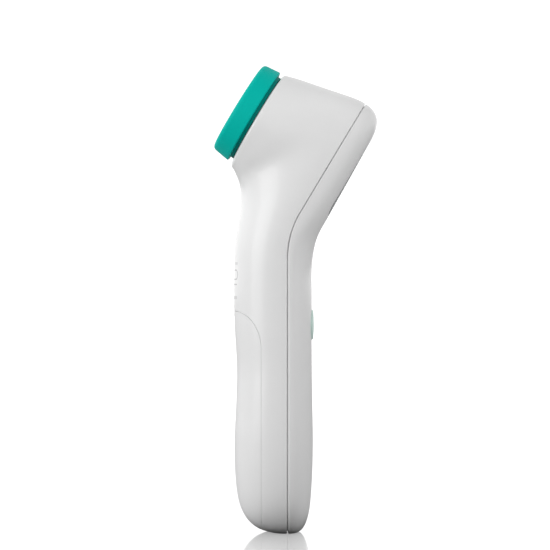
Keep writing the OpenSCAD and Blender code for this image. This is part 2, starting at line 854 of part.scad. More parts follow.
module tray_end() {
    linear_extrude(tray_wall) {
        for (s = [-1, 1]) translate([cell_x, s * cell_y]) circle(tray_end_r, $fn = 48);
        translate([cell_x - tray_end_r, -cell_y])
            square([tray_end_r + tray_back_x - cell_x + eps, 2 * cell_y]);
        translate([cell_x, -cell_y - tray_end_r])
            square([tray_back_x - cell_x + eps, 2 * (cell_y + tray_end_r)]);
    }
}
module battery_tray() {
    color(inner_white) difference() {
        union() {
            translate([0, 0, tray_floor]) tray_end();
            translate([0, 0, tray_top]) tray_end();
            translate([tray_back_x, -tray_w / 2, tray_floor]) cube([tray_t, tray_w, 60]);
            translate([tray_back_x, -4, 4.4]) cube([tray_t, 8, 8]);
            // Ribs that keep the cells apart.
            for (z = [22, 52]) translate([cell_x + 3.4, -0.2, z]) cube([3.4 + tray_t, 0.4, 3]);
        }
        for (s = case_screw_spots) on_handle(-10, s[0], s[1])
            cylinder(r = case_screw_r + 0.1, h = 20, $fn = 24);
        // Slots for the tabs of the upper contacts.
        for (s = [-1, 1]) translate([cell_x - 1.2, s * cell_y - tab_w / 2 - 0.1, tray_top - 1])
            cube([0.7, tab_w + 0.2, 4]);
    }
}
// A cell with its positive cap at the top.
module cell(base) {
    translate([cell_x, 0, base]) {
        rotate_extrude($fn = 64) polygon([
            [0, 0], [cell_r - 0.5, 0], [cell_r, 0.5], [cell_r, cell_length - 1.4],
            [cell_r - 0.6, cell_length - 0.9], [1.9, cell_length - 0.9], [1.9, cell_length - 0.2],
            [1.7, cell_length], [0, cell_length],
        ]);
    }
}
module battery_cell_left() {
    color(silver) translate([0, -cell_y, 0]) cell(left_base);
}
module battery_cell_right() {
    color(silver) translate([2 * cell_x, cell_y, right_tip + cell_length])
        rotate([0, 180, 0]) cell(0);
}

// A conical coil with its wide end on z = 0.
module coil(h, base_r, top_r, turns, wire) {
    steps = turns * 20;
    skin([
        for (i = [0 : steps])
            let (f = i / steps, a = 360 * turns * f, r = base_r + (top_r - base_r) * f)
            [
                for (j = [0 : 5])
                    let (q = r + wire * cos(60 * j))
                    [q * cos(a), q * sin(a), wire + (h - 2 * wire) * f + wire * sin(60 * j)],
            ],
    ]);
}
module spring() { coil(spring_h, spring_base_r, spring_top_r, spring_turns, spring_wire_r); }
module battery_springs() {
    color(steel) {
        translate([cell_x, -cell_y, lower_plate + plate_t]) spring();
        translate([cell_x, cell_y, upper_plate]) rotate([180, 0, 0]) spring();
    }
}
module battery_contacts() {
    color(brass) {
        // The lower plate joins both cells.
        translate([cell_x, 0, lower_plate]) plate(7, 18.6, plate_t, 1);
        for (s = [-1, 1]) {
            translate([cell_x, s * cell_y, upper_plate]) plate(7, 8, plate_t, 1);
            translate([cell_x - 1.1, s * cell_y - tab_w / 2, upper_plate + plate_t - eps])
                cube([0.5, tab_w, 3]);
        }
    }
}
// A run of round wire through a list of points.
module wire(points, r) {
    skin([
        for (i = [0 : len(points) - 1])
            let (d = direction(points, i), v = cross(d, [0, 1, 0]))
            [for (j = [0 : 9]) points[i] + r * cos(36 * j) * [0, 1, 0] + r * sin(36 * j) * v / norm(v)],
    ]);
}
module battery_leads() {
    r = 0.55;
    x = cell_x - 0.6 + r;
    color([0.75, 0.12, 0.12]) for (s = [-1, 1]) wire([
        [x, s * cell_y, tray_top + tray_wall + 0.2], [x, s * cell_y, 70], [-5.6, s * 6, 84],
        [-4.6, s * 6.6, 92], [-2.6, s * 7.4, 98],
        [head_x(7.5, 3), s * 8, head_z(7.5, 3)], [head_x(12, 1.2), s * 8, head_z(12, 1.2)],
        [head_x(14, r), s * 8, head_z(14, r)],
    ], r);
}

battery_tray();
battery_cell_left();
battery_cell_right();
battery_springs();
battery_contacts();
battery_leads();
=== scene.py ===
import json
import math

import bmesh
import bpy
import numpy as np
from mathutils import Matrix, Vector
from numpy.linalg import norm


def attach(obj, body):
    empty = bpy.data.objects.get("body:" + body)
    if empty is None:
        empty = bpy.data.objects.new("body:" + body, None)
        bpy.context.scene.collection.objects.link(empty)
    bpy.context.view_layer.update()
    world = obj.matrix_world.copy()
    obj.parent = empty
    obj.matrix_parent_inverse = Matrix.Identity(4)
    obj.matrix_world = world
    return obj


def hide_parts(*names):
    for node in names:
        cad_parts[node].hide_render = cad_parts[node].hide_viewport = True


# Looks of the infrared ear thermometer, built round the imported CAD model. Lengths are in
# millimetres until a mesh is made. +Z is up, +X is the display side, -X is the side that the
# nose points to, and the camera looks along +Y.

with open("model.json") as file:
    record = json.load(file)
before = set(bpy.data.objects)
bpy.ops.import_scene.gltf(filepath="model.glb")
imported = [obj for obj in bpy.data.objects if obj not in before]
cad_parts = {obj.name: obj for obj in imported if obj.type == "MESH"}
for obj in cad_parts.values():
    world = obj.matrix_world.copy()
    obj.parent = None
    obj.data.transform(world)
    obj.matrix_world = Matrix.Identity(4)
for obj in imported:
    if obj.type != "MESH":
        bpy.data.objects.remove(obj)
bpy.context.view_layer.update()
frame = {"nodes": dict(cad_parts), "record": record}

MM = 0.001

# -------------------- sizes of the casing

FRONT_DEPTH = 17.5
REAR_DEPTH = 8.05
HALF_WIDTH = 16.2
HEAD_HALF_WIDTH = 19.0
WALL = 1.8
SEAM = 0.3
HEAD_TILT = math.radians(31)
SIN, COS = math.sin(HEAD_TILT), math.cos(HEAD_TILT)
BEND_HEIGHT = 98.0
BEND_RADIUS = 28.0
NOSE_DEPTH = 28.0
NOSE_R = 16.8
NOSE_RISE = 27.6

COLLAR_R = 14.0
COLLAR_H = 3.0
COLLAR_INNER_R = 10.6
KEEPER_OUTER = 13.45
KEEPER_INNER = 11.15
KEEPER_T = 0.8

CAP_GAP = 0.3
CAP_H = 7.4
CAP_BACK_R = 16.8
CAP_FRONT_R = 16.0
CAP_NECK_R = 15.3
CAP_NECK_H = 1.1
CAP_OPENING_R = 6.4
CAP_LIFT = 0.3
CAP_LEAN = 0.2
PROBE_REACH = 6.6
MAGNET_R = 1.6
MAGNET_H = 1.2
MAGNET_RING = 12.3
MAGNET_ANGLES = (90, 210, 330)

WINDOW_RISE = 26.0
WINDOW_SIZE = (28.0, 23.0)
WINDOW_CORNER = 4.5
WINDOW_LEDGE = 1.5
WINDOW_T = 1.1

DOOR_EDGE_X = -8.6
DOOR_ARCH_BASE = 60.4
DOOR_ARCH = (9.0, 12.3)

BUTTON_HEIGHT = 68.2
BUTTON_R = 5.0
BUTTON_SEAT = 5.0
BUTTON_PROUD = 0.7

# Roll of the casing's edges along the handle's seam, round the head, at the battery door, and at
# the window and button. Between the two heights the seam's roll changes from one to the other.
EDGE_R = 0.48
HEAD_EDGE_R = 0.2
DOOR_EDGE_R = 0.1
FINE_EDGE_R = 0.2
EDGE_CHANGE = (90.0, 98.0)
# Depth of the step that closes the seam below the surface.
SEAM_DEPTH = 0.9
# Half the gap that shows at the battery door's arch, along its straight edges, at the window and
# round the button.
DOOR_ARCH_GAP = 0.05
DOOR_SIDE_GAP = 0.02
WINDOW_GAP = 0.06
BUTTON_GAP = 0.2

# Level sections of the handle: height, then reach to the front, reach to the rear and half width
# as shares of the handle's own sizes.
HANDLE_ROWS = [
    (0, 0.32, 0.44, 0.44), (1, 0.53, 0.62, 0.60), (2.5, 0.675, 0.74, 0.72), (5, 0.80, 0.85, 0.82),
    (8.5, 0.895, 0.925, 0.90), (13, 0.95, 0.97, 0.95), (20, 0.985, 1.02, 0.985),
    (30, 0.995, 1.045, 1.005), (42, 0.965, 1.02, 1.00), (54, 0.95, 1.00, 0.99),
    (66, 0.99, 0.995, 1.00), (78, 1.01, 1.00, 1.01), (88, 1.00, 1.005, 1.03),
]
# Sections that fan round the neck: rise and reach of the front end, rise and reach of the rear
# end, half width as a share of the head's, place of the widest point as a share of the section,
# and fullness of the front and rear halves.
HEAD_ROWS = [
    (-12.0, 13.0, 4.0, -8.8, 0.90, 0.69, 2.2, 2.3), (-7.0, 15.2, 11.8, -8.6, 0.93, 0.69, 2.2, 2.8),
    (-2.7, 16.8, 20.3, -8.35, 0.96, 0.68, 2.2, 3.4), (0.9, 18.5, 29.2, -8.1, 0.98, 0.67, 2.2, 3.9),
    (3.9, 20.3, 37.5, -7.8, 0.995, 0.66, 2.2, 4.2), (6.0, 22.0, 43.9, -7.5, 1.00, 0.65, 2.2, 4.2),
    (7.1, 23.2, 48.9, -5.7, 1.00, 0.64, 2.2, 3.9), (7.9, 24.3, 50.2, 0.6, 0.99, 0.62, 2.2, 3.4),
    (8.7, 25.4, 48.6, 8.8, 0.97, 0.59, 2.2, 2.8), (9.35, 26.5, 47.0, 17.0, 0.935, 0.55, 2.1, 2.3),
    (9.7, 27.3, 45.8, 23.0, 0.91, 0.52, 2.0, 2.1),
]
HANDLE_FULLNESS = (2.2, 2.1)

# Grid of the body's surface: spacing of its rings, points in a ring, and blur along the body.
ROW_SPACING = 1.0
COLUMNS = 176
ROW_BLUR = 2.2
# Roll from the body into the nose face.
NOSE_ROLL = 0.8
# Distance that stands for far away from a small outline.
FAR = 30.0

# -------------------- frames and fields


def from_head(rise, side, out):
    """Points of the head's frame in the object's frame."""
    rise, side, out = np.broadcast_arrays(*[np.asarray(a, float) for a in (rise, side, out)])
    x = rise * SIN - out * COS
    z = BEND_HEIGHT + rise * COS + out * SIN
    return np.stack([x, side, z], -1)


def to_head(p):
    """The head's own coordinates of points: rise, side and distance out along the nose axis."""
    x, z = p[..., 0], p[..., 2] - BEND_HEIGHT
    rise = x * SIN + z * COS
    out = -x * COS + z * SIN
    return rise, p[..., 1], out


def parting(p):
    """Distance from the parting line in the side view, positive on the display side."""
    x, z = p[..., 0], p[..., 2]
    rise, _, out = to_head(p)
    tangent = BEND_RADIUS * math.tan(HEAD_TILT / 2)
    start = BEND_HEIGHT - tangent
    arc = BEND_RADIUS - np.hypot(x - BEND_RADIUS, z - start)
    return np.where(z <= start, x, np.where(rise >= tangent, -out, arc))


def door(p):
    """Distance outside the battery door's outline in the side view, negative inside it."""
    x, z = p[..., 0], p[..., 2]
    w, h = DOOR_ARCH
    dx = np.maximum(x - (DOOR_EDGE_X - w), 0)
    dz = np.maximum(z - DOOR_ARCH_BASE, 0)
    arch = (np.hypot(dx / w, dz / h) - 1) * w
    return np.where(z <= DOOR_ARCH_BASE, x - DOOR_EDGE_X, arch)


def window(p):
    """Distance outside the display window's outline, negative inside it."""
    rise, side, out = to_head(p)
    hx, hy = WINDOW_SIZE[0] / 2 - WINDOW_CORNER, WINDOW_SIZE[1] / 2 - WINDOW_CORNER
    qx, qy = np.abs(rise - WINDOW_RISE) - hx, np.abs(side) - hy
    inside = np.minimum(np.maximum(qx, qy), 0)
    distance = np.hypot(np.maximum(qx, 0), np.maximum(qy, 0)) + inside - WINDOW_CORNER
    return np.where(out < -2, distance, FAR)


def button_hole(p):
    """Distance outside the button's hole in the rear face."""
    distance = np.hypot(p[..., 1], p[..., 2] - BUTTON_HEIGHT) - (BUTTON_R + BUTTON_GAP)
    return np.where(p[..., 0] > 3, distance, FAR)


def gradient(field, p, h=0.02):
    """Gradient of a field at points."""
    steps = np.eye(3) * h
    return np.stack([(field(p + s) - field(p - s)) / (2 * h) for s in steps], -1)


def unit(v):
    """Vectors scaled to length one."""
    return v / np.maximum(norm(v, axis=-1, keepdims=True), 1e-12)


# -------------------- the body's surface


def stations():
    """Ends, half width, widest place and fullness of every section that the body runs through."""
    made = []
    for z, front, rear, wide in HANDLE_ROWS:
        a, b = FRONT_DEPTH * front, REAR_DEPTH * rear
        made.append([-a, z, b, z, HALF_WIDTH * wide, a / (a + b), *HANDLE_FULLNESS])
    for row in HEAD_ROWS:
        front, rear = from_head(row[0], 0, row[1]), from_head(row[2], 0, row[3])
        made.append([front[0], front[2], rear[0], rear[2], HEAD_HALF_WIDTH * row[4], *row[5:]])
    low, high = (from_head(NOSE_RISE + s * NOSE_R, 0, NOSE_DEPTH) for s in (-1, 1))
    made.append([low[0], low[2], high[0], high[2], NOSE_R, 0.5, 2, 2])
    return np.array(made)


def dense_stations(spacing, blur, fine_steps=2400):
    """The sections at an even spacing, from cubics through the stations that are then blurred."""
    rows = stations()
    step = np.diff(rows, axis=0)
    ends = (np.hypot(step[:, 0], step[:, 1]) + np.hypot(step[:, 2], step[:, 3])) / 2
    knots = np.concatenate([[0], np.cumsum(ends)])
    slope = step / ends[:, None]
    tangent = np.empty_like(rows)
    tangent[0], tangent[-1] = slope[0], slope[-1]
    before, after = ends[:-1, None], ends[1:, None]
    tangent[1:-1] = (slope[1:] * before + slope[:-1] * after) / (before + after)

    fine = np.linspace(0, knots[-1], fine_steps)
    i = np.clip(np.searchsorted(knots, fine, side="right") - 1, 0, len(ends) - 1)
    h = ends[i][:, None]
    f = (fine[:, None] - knots[i][:, None]) / h
    curve = (
        rows[i] * (2 * f**3 - 3 * f**2 + 1) + rows[i + 1] * (3 * f**2 - 2 * f**3)
        + tangent[i] * h * (f**3 - 2 * f**2 + f) + tangent[i + 1] * h * (f**3 - f**2)
    )
    # The blur takes the small kinks out of the cubics. It fades out at both ends.
    ds = fine[1] - fine[0]
    reach = int(3 * blur / ds)
    weights = np.exp(-0.5 * (np.arange(-reach, reach + 1) * ds / blur) ** 2)
    padded = np.pad(curve, ((reach, reach), (0, 0)), mode="reflect", reflect_type="odd")
    smooth = np.stack([np.convolve(c, weights / weights.sum(), "valid") for c in padded.T], -1)
    from_end = np.minimum(fine, knots[-1] - fine)[:, None]
    keep = np.clip(from_end / (4 * blur), 0, 1)
    curve = curve * (1 - keep) + smooth * keep

    # Places where one end of the fan moves fast get closer rows.
    d = np.diff(curve, axis=0)
    pace = np.maximum(np.hypot(d[:, 0], d[:, 1]), np.hypot(d[:, 2], d[:, 3]))
    travelled = np.concatenate([[0], np.cumsum(pace)])
    count = int(travelled[-1] / spacing)
    places = np.interp(np.linspace(0, travelled[-1], count), travelled, fine)
    return np.stack([np.interp(places, fine, c) for c in curve.T], -1)


def section_ring(row, angles):
    """Points round one section. Angle 0 is its rear end and 180 its front end."""
    front, rear = row[0:2], row[2:4]
    length = norm(rear - front)
    along = (rear - front) / length
    c, s = np.cos(angles), np.sin(angles)
    power = np.where(c > 0, row[7], row[6])
    radius = (np.abs(c) ** power + np.abs(s) ** power) ** (-1 / power)
    reach = length * np.where(c > 0, 1 - row[5], row[5]) * radius * c
    place = front + along * (length * row[5] + reach)[:, None]
    return np.stack([place[:, 0], row[4] * radius * s, place[:, 1]], -1)


def even_angles(row, count, fine_steps=1441):
    """Angles that put points at even distances round a section."""
    fine = np.linspace(0, 2 * math.pi, fine_steps)
    p = section_ring(row, fine)
    travelled = np.concatenate([[0], np.cumsum(norm(np.diff(p, axis=0), axis=1))])
    return np.interp(np.arange(count) / count * travelled[-1], travelled, fine)


def grid_normals(grid, pole_first):
    """Outward normals of a grid of rings that run from the foot to the nose."""
    along = np.gradient(grid, axis=0)
    around = np.roll(grid, -1, axis=1) - np.roll(grid, 1, axis=1)
    n = unit(np.cross(around, along))
    if pole_first:
        n[0] = (0, 0, -1)
    return n


def nose_ring(radius, out, angles):
    """A ring round the nose axis, with its points at the same places as those of the sections."""
    rise = NOSE_RISE + radius * np.cos(angles)
    return from_head(rise, radius * np.sin(angles), np.full_like(angles, out))


def body_sheet():
    """Outer points, inner points and normals of the whole casing, foot to collar, as grids."""
    rows = dense_stations(ROW_SPACING, ROW_BLUR)
    angles = [even_angles(r, COLUMNS) for r in rows]
    loft = np.array([section_ring(r, a) for r, a in zip(rows, angles)])

    # The flat foot inside the first ring.
    centre = loft[0].mean(0)
    foot = [centre + (loft[0] - centre) * s for s in np.linspace(0, 1, 9)[:-1]]
    grid = np.concatenate([foot, loft])
    normals = grid_normals(grid, True)
    inner = grid - normals * WALL

    # A small roll from the loft's last ring into the nose face, then the face and the collar.
    last = angles[-1]
    a = grid[-1] + unit(grid[-2] - grid[-1]) * NOSE_ROLL
    corner = nose_ring(NOSE_R, NOSE_DEPTH, last)
    b = nose_ring(NOSE_R - NOSE_ROLL, NOSE_DEPTH, last)
    roll = [a * (1 - t) ** 2 + corner * 2 * t * (1 - t) + b * t**2 for t in np.linspace(0, 1, 7)]
    # The collar's corners, with the groove for the keeper ring: radius, height over the nose face,
    # and radius of the inner point behind.
    steps = [
        (COLLAR_R + 0.25, 0, 13.9), (COLLAR_R, 0.25, 13.6),
        (COLLAR_R, COLLAR_H - 0.2, 13.3), (COLLAR_R - 0.2, COLLAR_H, 13.0),
        (KEEPER_OUTER, COLLAR_H, 12.7), (KEEPER_OUTER, COLLAR_H - KEEPER_T, 12.4),
        (KEEPER_INNER, COLLAR_H - KEEPER_T, 12.0), (KEEPER_INNER, COLLAR_H, 11.6),
        (COLLAR_INNER_R + 0.2, COLLAR_H, 11.2), (COLLAR_INNER_R, COLLAR_H - 0.2, 10.9),
        (COLLAR_INNER_R, -WALL, COLLAR_INNER_R),
    ]
    behind = [15.0 - 0.12 * k for k in range(len(roll))] + [r for _, _, r in steps]
    outer_rows = roll + [nose_ring(r, NOSE_DEPTH + h, last) for r, h, _ in steps]
    inner_rows = [nose_ring(r, NOSE_DEPTH - WALL, last) for r in behind]

    # The rows of the loft that the roll replaces go, and any that would crowd it.
    keep = norm(grid - grid[-1], axis=-1).min(1) > NOSE_ROLL + 0.3
    keep[0] = True
    outer = np.concatenate([grid[keep], outer_rows])
    inner = np.concatenate([inner[keep], inner_rows])
    normals = grid_normals(outer, True)
    smooth_rows = keep.sum() + len(roll)
    normals[smooth_rows:] = 0
    return outer, inner, normals


# -------------------- trimming the surface


def snap(grid, g, reach=0.22):
    """Moves grid points that lie close to the line g = 0 onto it, so that no sliver is left."""
    rows, columns = g.shape
    moved, g = grid.copy(), g.copy()
    best = np.full(g.shape, reach)
    target = {}
    for di, dj in ((1, 0), (0, 1)):
        here = g[: rows - di]
        there = np.roll(g, -dj, axis=1)[di:]
        crossing = here * there < 0
        t = np.where(crossing, here / np.where(crossing, here - there, 1), 0.5)
        for r, c in zip(*np.nonzero(crossing)):
            other = (r + di, (c + dj) % columns)
            near, far, share = ((r, c), other, t[r, c])
            if share > 0.5:
                near, far, share = other, (r, c), 1 - share
            if share < best[near]:
                best[near] = share
                target[near] = (far, share)
    for near, (far, share) in target.items():
        moved[near] = grid[near] * (1 - share) + grid[far] * share
        g[near] = 0
    return moved, g


class Sheet:
    """The part of a grid where g is positive: its points, its inner points and its polygons."""

    def __init__(self, outer, inner, normals, g, closed_end=False):
        pole_first = norm(outer[0, 0] - outer[0, 1]) < 1e-9
        grid, g = snap(np.concatenate([outer, inner, normals], -1), g)
        rows, columns = g.shape
        self.polygons = []
        self.merged = set()
        points, ids = [], {}

        def add(key, point):
            if key not in ids:
                ids[key] = len(points)
                points.append(point)
            return ids[key]

        def corner(r, c):
            key = (r, c % columns)
            v = add((0, 0) if pole_first and r == 0 else key, grid[key])
            if closed_end and r == rows - 1:
                self.merged.add(v)
            return v

        def crossing(a, b):
            a, b = (a[0], a[1] % columns), (b[0], b[1] % columns)
            a, b = min(a, b), max(a, b)
            t = g[a] / (g[a] - g[b])
            return add((a, b), grid[a] * (1 - t) + grid[b] * t)

        for r in range(rows - 1):
            for c in range(columns):
                cell = [(r, c), (r, c + 1), (r + 1, c + 1), (r + 1, c)]
                values = [g[k[0], k[1] % columns] for k in cell]
                if max(values) <= 0:
                    continue
                polygon = []
                for k in range(4):
                    a, b = cell[k], cell[(k + 1) % 4]
                    ga, gb = values[k], values[(k + 1) % 4]
                    if ga >= 0:
                        polygon.append(corner(*a))
                    if ga * gb < 0:
                        polygon.append(crossing(a, b))
                polygon = [v for k, v in enumerate(polygon) if v != polygon[k - 1]]
                if len(polygon) > 2:
                    self.polygons.append(polygon)
        self.outer, self.inner, self.normals = np.split(np.array(points), 3, axis=1)

    def rim(self):
        """Directed edges that only one polygon has."""
        edges = {(p[k - 1], p[k]) for p in self.polygons for k in range(len(p))}
        open_edges = [e for e in edges if (e[1], e[0]) not in edges]
        return sorted(e for e in open_edges if not (e[0] in self.merged and e[1] in self.merged))


class Solid:
    """Points, faces and known normals of a mesh that is being put together."""

    def __init__(self):
        self.points, self.faces, self.normals = [], [], []

    def add_points(self, points):
        """Adds points and returns their numbers."""
        start = len(self.points)
        self.points.extend(np.asarray(points, float).reshape(-1, 3))
        return np.arange(start, len(self.points))

    def add_face(self, face, normals=None):
        self.faces.append(face)
        self.normals.append(normals or [(0, 0, 0)] * len(face))

    def add_sheet(self, sheet, field, roll):
        """A trimmed sheet with its inner side, and with its rim rolled over at radius roll."""
        out = self.add_points(sheet.outer)
        inside = self.add_points(sheet.inner)
        for v in sheet.merged:
            inside[v] = out[v]
        known = norm(sheet.normals, axis=1) > 0.5
        for p in sheet.polygons:
            self.add_face(out[p], [sheet.normals[v] if known[v] else (0, 0, 0) for v in p])
            self.add_face(inside[p[::-1]])

        edges = sheet.rim()
        rim = sorted({v for e in edges for v in e})
        if not rim:
            return
        p, n = sheet.outer[rim], unit(sheet.normals[rim])
        away = -gradient(field, p)
        away = unit(away - (away * n).sum(-1, keepdims=True) * n)
        roll = roll(p)[:, None] if callable(roll) else np.full((len(rim), 1), float(roll))
        steps = 4 if roll.max() > 0 else 0
        # Rings of points from the outer rim to the inner one, with the normals of the rolled ones.
        rings = [(out[rim], n)]
        for k in range(1, steps + 1):
            a = math.pi / 2 * k / steps
            ring = p + away * roll * math.sin(a) - n * roll * (1 - math.cos(a))
            rings.append((self.add_points(ring), n * math.cos(a) + away * math.sin(a)))
        if steps:
            depth = ((p - sheet.inner[rim]) * n).sum(-1, keepdims=True)
            rings.append((self.add_points(p + away * roll - n * depth), None))
        rings.append((inside[rim], None))
        index = {v: k for k, v in enumerate(rim)}
        for a, b in edges:
            i, j = index[a], index[b]
            for (near, shade), (far, next_shade) in zip(rings, rings[1:]):
                shades = None
                if next_shade is not None:
                    shades = [shade[j], shade[i], next_shade[i], next_shade[j]]
                self.add_face([near[j], near[i], far[i], far[j]], shades)

    def join(self, a, b):
        """Faces between two closed rings of points. A ring that is one point repeats it."""
        for k in range(len(a)):
            m = (k + 1) % len(a)
            face = list(dict.fromkeys((a[k], a[m], b[m], b[k])))
            if len(face) > 2:
                self.add_face(face)

    def add_lathe(self, profile, segments, place):
        """A profile of (radius, height) points turned round an axis; place maps them to space."""
        angles = np.arange(segments) / segments * 2 * math.pi
        rings = []
        for r, h in profile:
            at = angles if r > 0 else angles[:1]
            ids = self.add_points(place(r * np.cos(at), r * np.sin(at), h))
            rings.append(np.resize(ids, segments))
        for a, b in zip(rings, rings[1:]):
            self.join(a, b)
        if profile[0][0] > 0:
            self.join(rings[-1], rings[0])

    def add_tube(self, rings):
        """A tube through rings of equal length, with flat ends."""
        ids = [self.add_points(r) for r in rings]
        for a, b in zip(ids, ids[1:]):
            self.join(a, b)
        self.add_face(ids[0][::-1])
        self.add_face(ids[-1])

    def make(self, name, sharp=38):
        """The Blender object, in metres."""
        mesh = bpy.data.meshes.new(name)
        mesh.from_pydata((np.array(self.points) * MM).tolist(), [], self.faces)
        mesh.update()
        mesh.polygons.foreach_set("use_smooth", [True] * len(mesh.polygons))
        mesh.set_sharp_from_angle(angle=math.radians(sharp))
        shaded = [n for face in self.normals for n in face]
        if any(norm(n) > 0.5 for n in shaded):
            mesh.normals_split_custom_set(np.array(shaded, float).tolist())
        obj = bpy.data.objects.new(name, mesh)
        bpy.context.scene.collection.objects.link(obj)
        return obj


def seam_roll(p):
    """Roll of the casing's edges at points along the seam between the two halves."""
    return np.interp(p[..., 2], EDGE_CHANGE, (EDGE_R, HEAD_EDGE_R))


def shell_roll(p):
    """Roll of the front shell's edges, which are finer round the battery door."""
    return np.where(door(p) < -parting(p), DOOR_EDGE_R, seam_roll(p))


def door_gap(p):
    """Half the gap round the battery door, widest over the arch."""
    rise = (DOOR_ARCH_BASE, DOOR_ARCH_BASE + 0.7 * DOOR_ARCH[1])
    return np.interp(p[..., 2], rise, (DOOR_SIDE_GAP, DOOR_ARCH_GAP))


def on_surface(field, normals, points, least_slope=0.35):
    """A field as distance along the surface rather than through space."""
    slope = gradient(field, points)
    slope = slope - (slope * normals).sum(-1, keepdims=True) * normals
    return field(points) / np.clip(norm(slope, axis=-1), least_slope, 1)


OUTER, INNER, NORMALS = body_sheet()
SHADE = unit(NORMALS)
FIELD = {f: on_surface(f, SHADE, OUTER) for f in (parting, door, window, button_hole)}

# -------------------- materials

LOOKS = {}


class NodeTree:
    """Makes the nodes of a material or world and joins them."""

    def __init__(self, tree, coordinates):
        self.nodes, self.links = tree.nodes, tree.links
        self.place = self.node("ShaderNodeTexCoord").outputs[coordinates]

    def node(self, kind, **settings):
        made = self.nodes.new(kind)
        for key, value in settings.items():
            setattr(made, key, value)
        return made

    def feed(self, socket, value):
        """Gives an input a number, a colour or another node's output."""
        if isinstance(value, bpy.types.NodeSocket):
            self.links.new(value, socket)
        else:
            socket.default_value = (*value, 1) if isinstance(value, tuple) else value

    def fill(self, node, **inputs):
        """Gives a node its inputs by name, with _ for a space."""
        for key, value in inputs.items():
            self.feed(node.inputs[key.replace("_", " ")], value)
        return node

    def math(self, operation, *values, clamp=False):
        n = self.node("ShaderNodeMath", operation=operation, use_clamp=clamp)
        for socket, value in zip(n.inputs, values):
            self.feed(socket, value)
        return n.outputs[0]

    def axis(self, name):
        """One coordinate of the place that is shaded, or of the sky's direction."""
        n = self.node("ShaderNodeSeparateXYZ")
        self.feed(n.inputs[0], self.place)
        return n.outputs[name]


class Shader(NodeTree):
    """A material made of nodes over the object's own coordinates, kept in LOOKS."""

    def __init__(self, name):
        material = bpy.data.materials.new(name)
        material.use_nodes = True
        super().__init__(material.node_tree, "Object")
        self.bsdf = self.nodes["Principled BSDF"]
        LOOKS[name] = material

    def pattern(self, kind, place=None, **inputs):
        """A texture over the object's own coordinates, or over another place."""
        return self.fill(self.node(kind), Vector=place or self.place, **inputs)

    def noise(self, size_mm, detail=2.0, place=None):
        """Soft noise from 0 to 1 whose features are size_mm across."""
        n = self.pattern("ShaderNodeTexNoise", place, Scale=1000 / size_mm, Detail=detail)
        return n.outputs["Fac"]

    def between(self, value, low, high):
        """A value from 0 to 1 spread over low to high."""
        n = self.fill(self.node("ShaderNodeMapRange"), Value=value, To_Min=low, To_Max=high)
        return n.outputs["Result"]

    def mix(self, factor, a, b):
        n = self.node("ShaderNodeMix", data_type="RGBA")
        for socket, value in ((n.inputs[0], factor), (n.inputs[6], a), (n.inputs[7], b)):
            self.feed(socket, value)
        return n.outputs[2]

    def bump(self, height, depth_mm):
        n = self.fill(self.node("ShaderNodeBump"), Height=height, Distance=depth_mm * MM)
        self.set(Normal=n.outputs["Normal"])

    def set(self, **inputs):
        """Gives the Principled shader its inputs."""
        self.fill(self.bsdf, **inputs)


def tint(color, share):
    """A colour made lighter or darker."""
    return tuple(min(1.0, c * share) for c in color)


# Moulded plastic: sizes of the drift in its colour and in its gloss, and the spread of its gloss.
DRIFT_MM = 9.0
GLOSS_MM = 2.5
GLOSS_SPREAD = 0.03


def moulded(name, color, roughness, grain_mm=0.35, depth=0.004, mottle=0.02, paint=None, **inputs):
    """Moulded plastic with a fine grain, and with a function that paints over its colour."""
    s = Shader(name)
    color = s.mix(s.noise(DRIFT_MM, 3), tint(color, 1 - mottle), tint(color, 1 + mottle))
    gloss = s.between(s.noise(GLOSS_MM, 3), roughness - GLOSS_SPREAD, roughness + GLOSS_SPREAD)
    s.set(Base_Color=paint(s, color) if paint else color, Roughness=gloss, **inputs)
    s.bump(s.noise(grain_mm, 2), depth)


# Marks on the casing where it is further forward than MARK_REACH, each with its height, half
# height, half width and strength of ink: the outline of an oval, and three bars.
MARK_COLOR = (0.30, 0.30, 0.31)
MARK_REACH = 8.0
MARK_LINE = 0.45
MARK_OVAL = (84.7, 1.5, 7.0, 0.7)
MARK_BARS = ((81.5, 0.22, 6.4, 0.7), (88.4, 0.45, 6.8, 0.4), (77.2, 0.5, 6.4, 0.4))


def length_of(s, a, b):
    """Length of the vector with two parts."""
    return s.math("SQRT", s.math("ADD", s.math("MULTIPLY", a, a), s.math("MULTIPLY", b, b)))


def bar(s, height, half_height, half_width):
    """1 inside a level bar, else 0."""
    rise = s.math("ABSOLUTE", s.math("SUBTRACT", s.axis("Z"), height * MM))
    side = s.math("ABSOLUTE", s.axis("Y"))
    level = s.math("LESS_THAN", rise, half_height * MM)
    return s.math("MULTIPLY", level, s.math("LESS_THAN", side, half_width * MM))


def oval(s, height, half_height, half_width):
    """1 on the outline of a level oval with straight sides, else 0."""
    rise = s.math("SUBTRACT", s.axis("Z"), height * MM)
    side = s.math("SUBTRACT", s.math("ABSOLUTE", s.axis("Y")), (half_width - half_height) * MM)
    away = length_of(s, rise, s.math("MAXIMUM", side, 0.0))
    off = s.math("ABSOLUTE", s.math("SUBTRACT", away, half_height * MM))
    return s.math("LESS_THAN", off, MARK_LINE / 2 * MM)


def marks(s, color):
    """Plain grey marks on the front of a casing."""
    ink = s.math("MULTIPLY", oval(s, *MARK_OVAL[:3]), MARK_OVAL[3])
    for *sizes, strength in MARK_BARS:
        ink = s.math("MAXIMUM", ink, s.math("MULTIPLY", bar(s, *sizes), strength))
    ink = s.math("MULTIPLY", ink, s.math("LESS_THAN", s.axis("X"), -MARK_REACH * MM))
    return s.mix(ink, color, MARK_COLOR)


# Dark teal of the painted shade on the cap's neck, in the groove between the cap and the head.
NECK_SHADE_COLOR = (0.0, 0.25, 0.22)


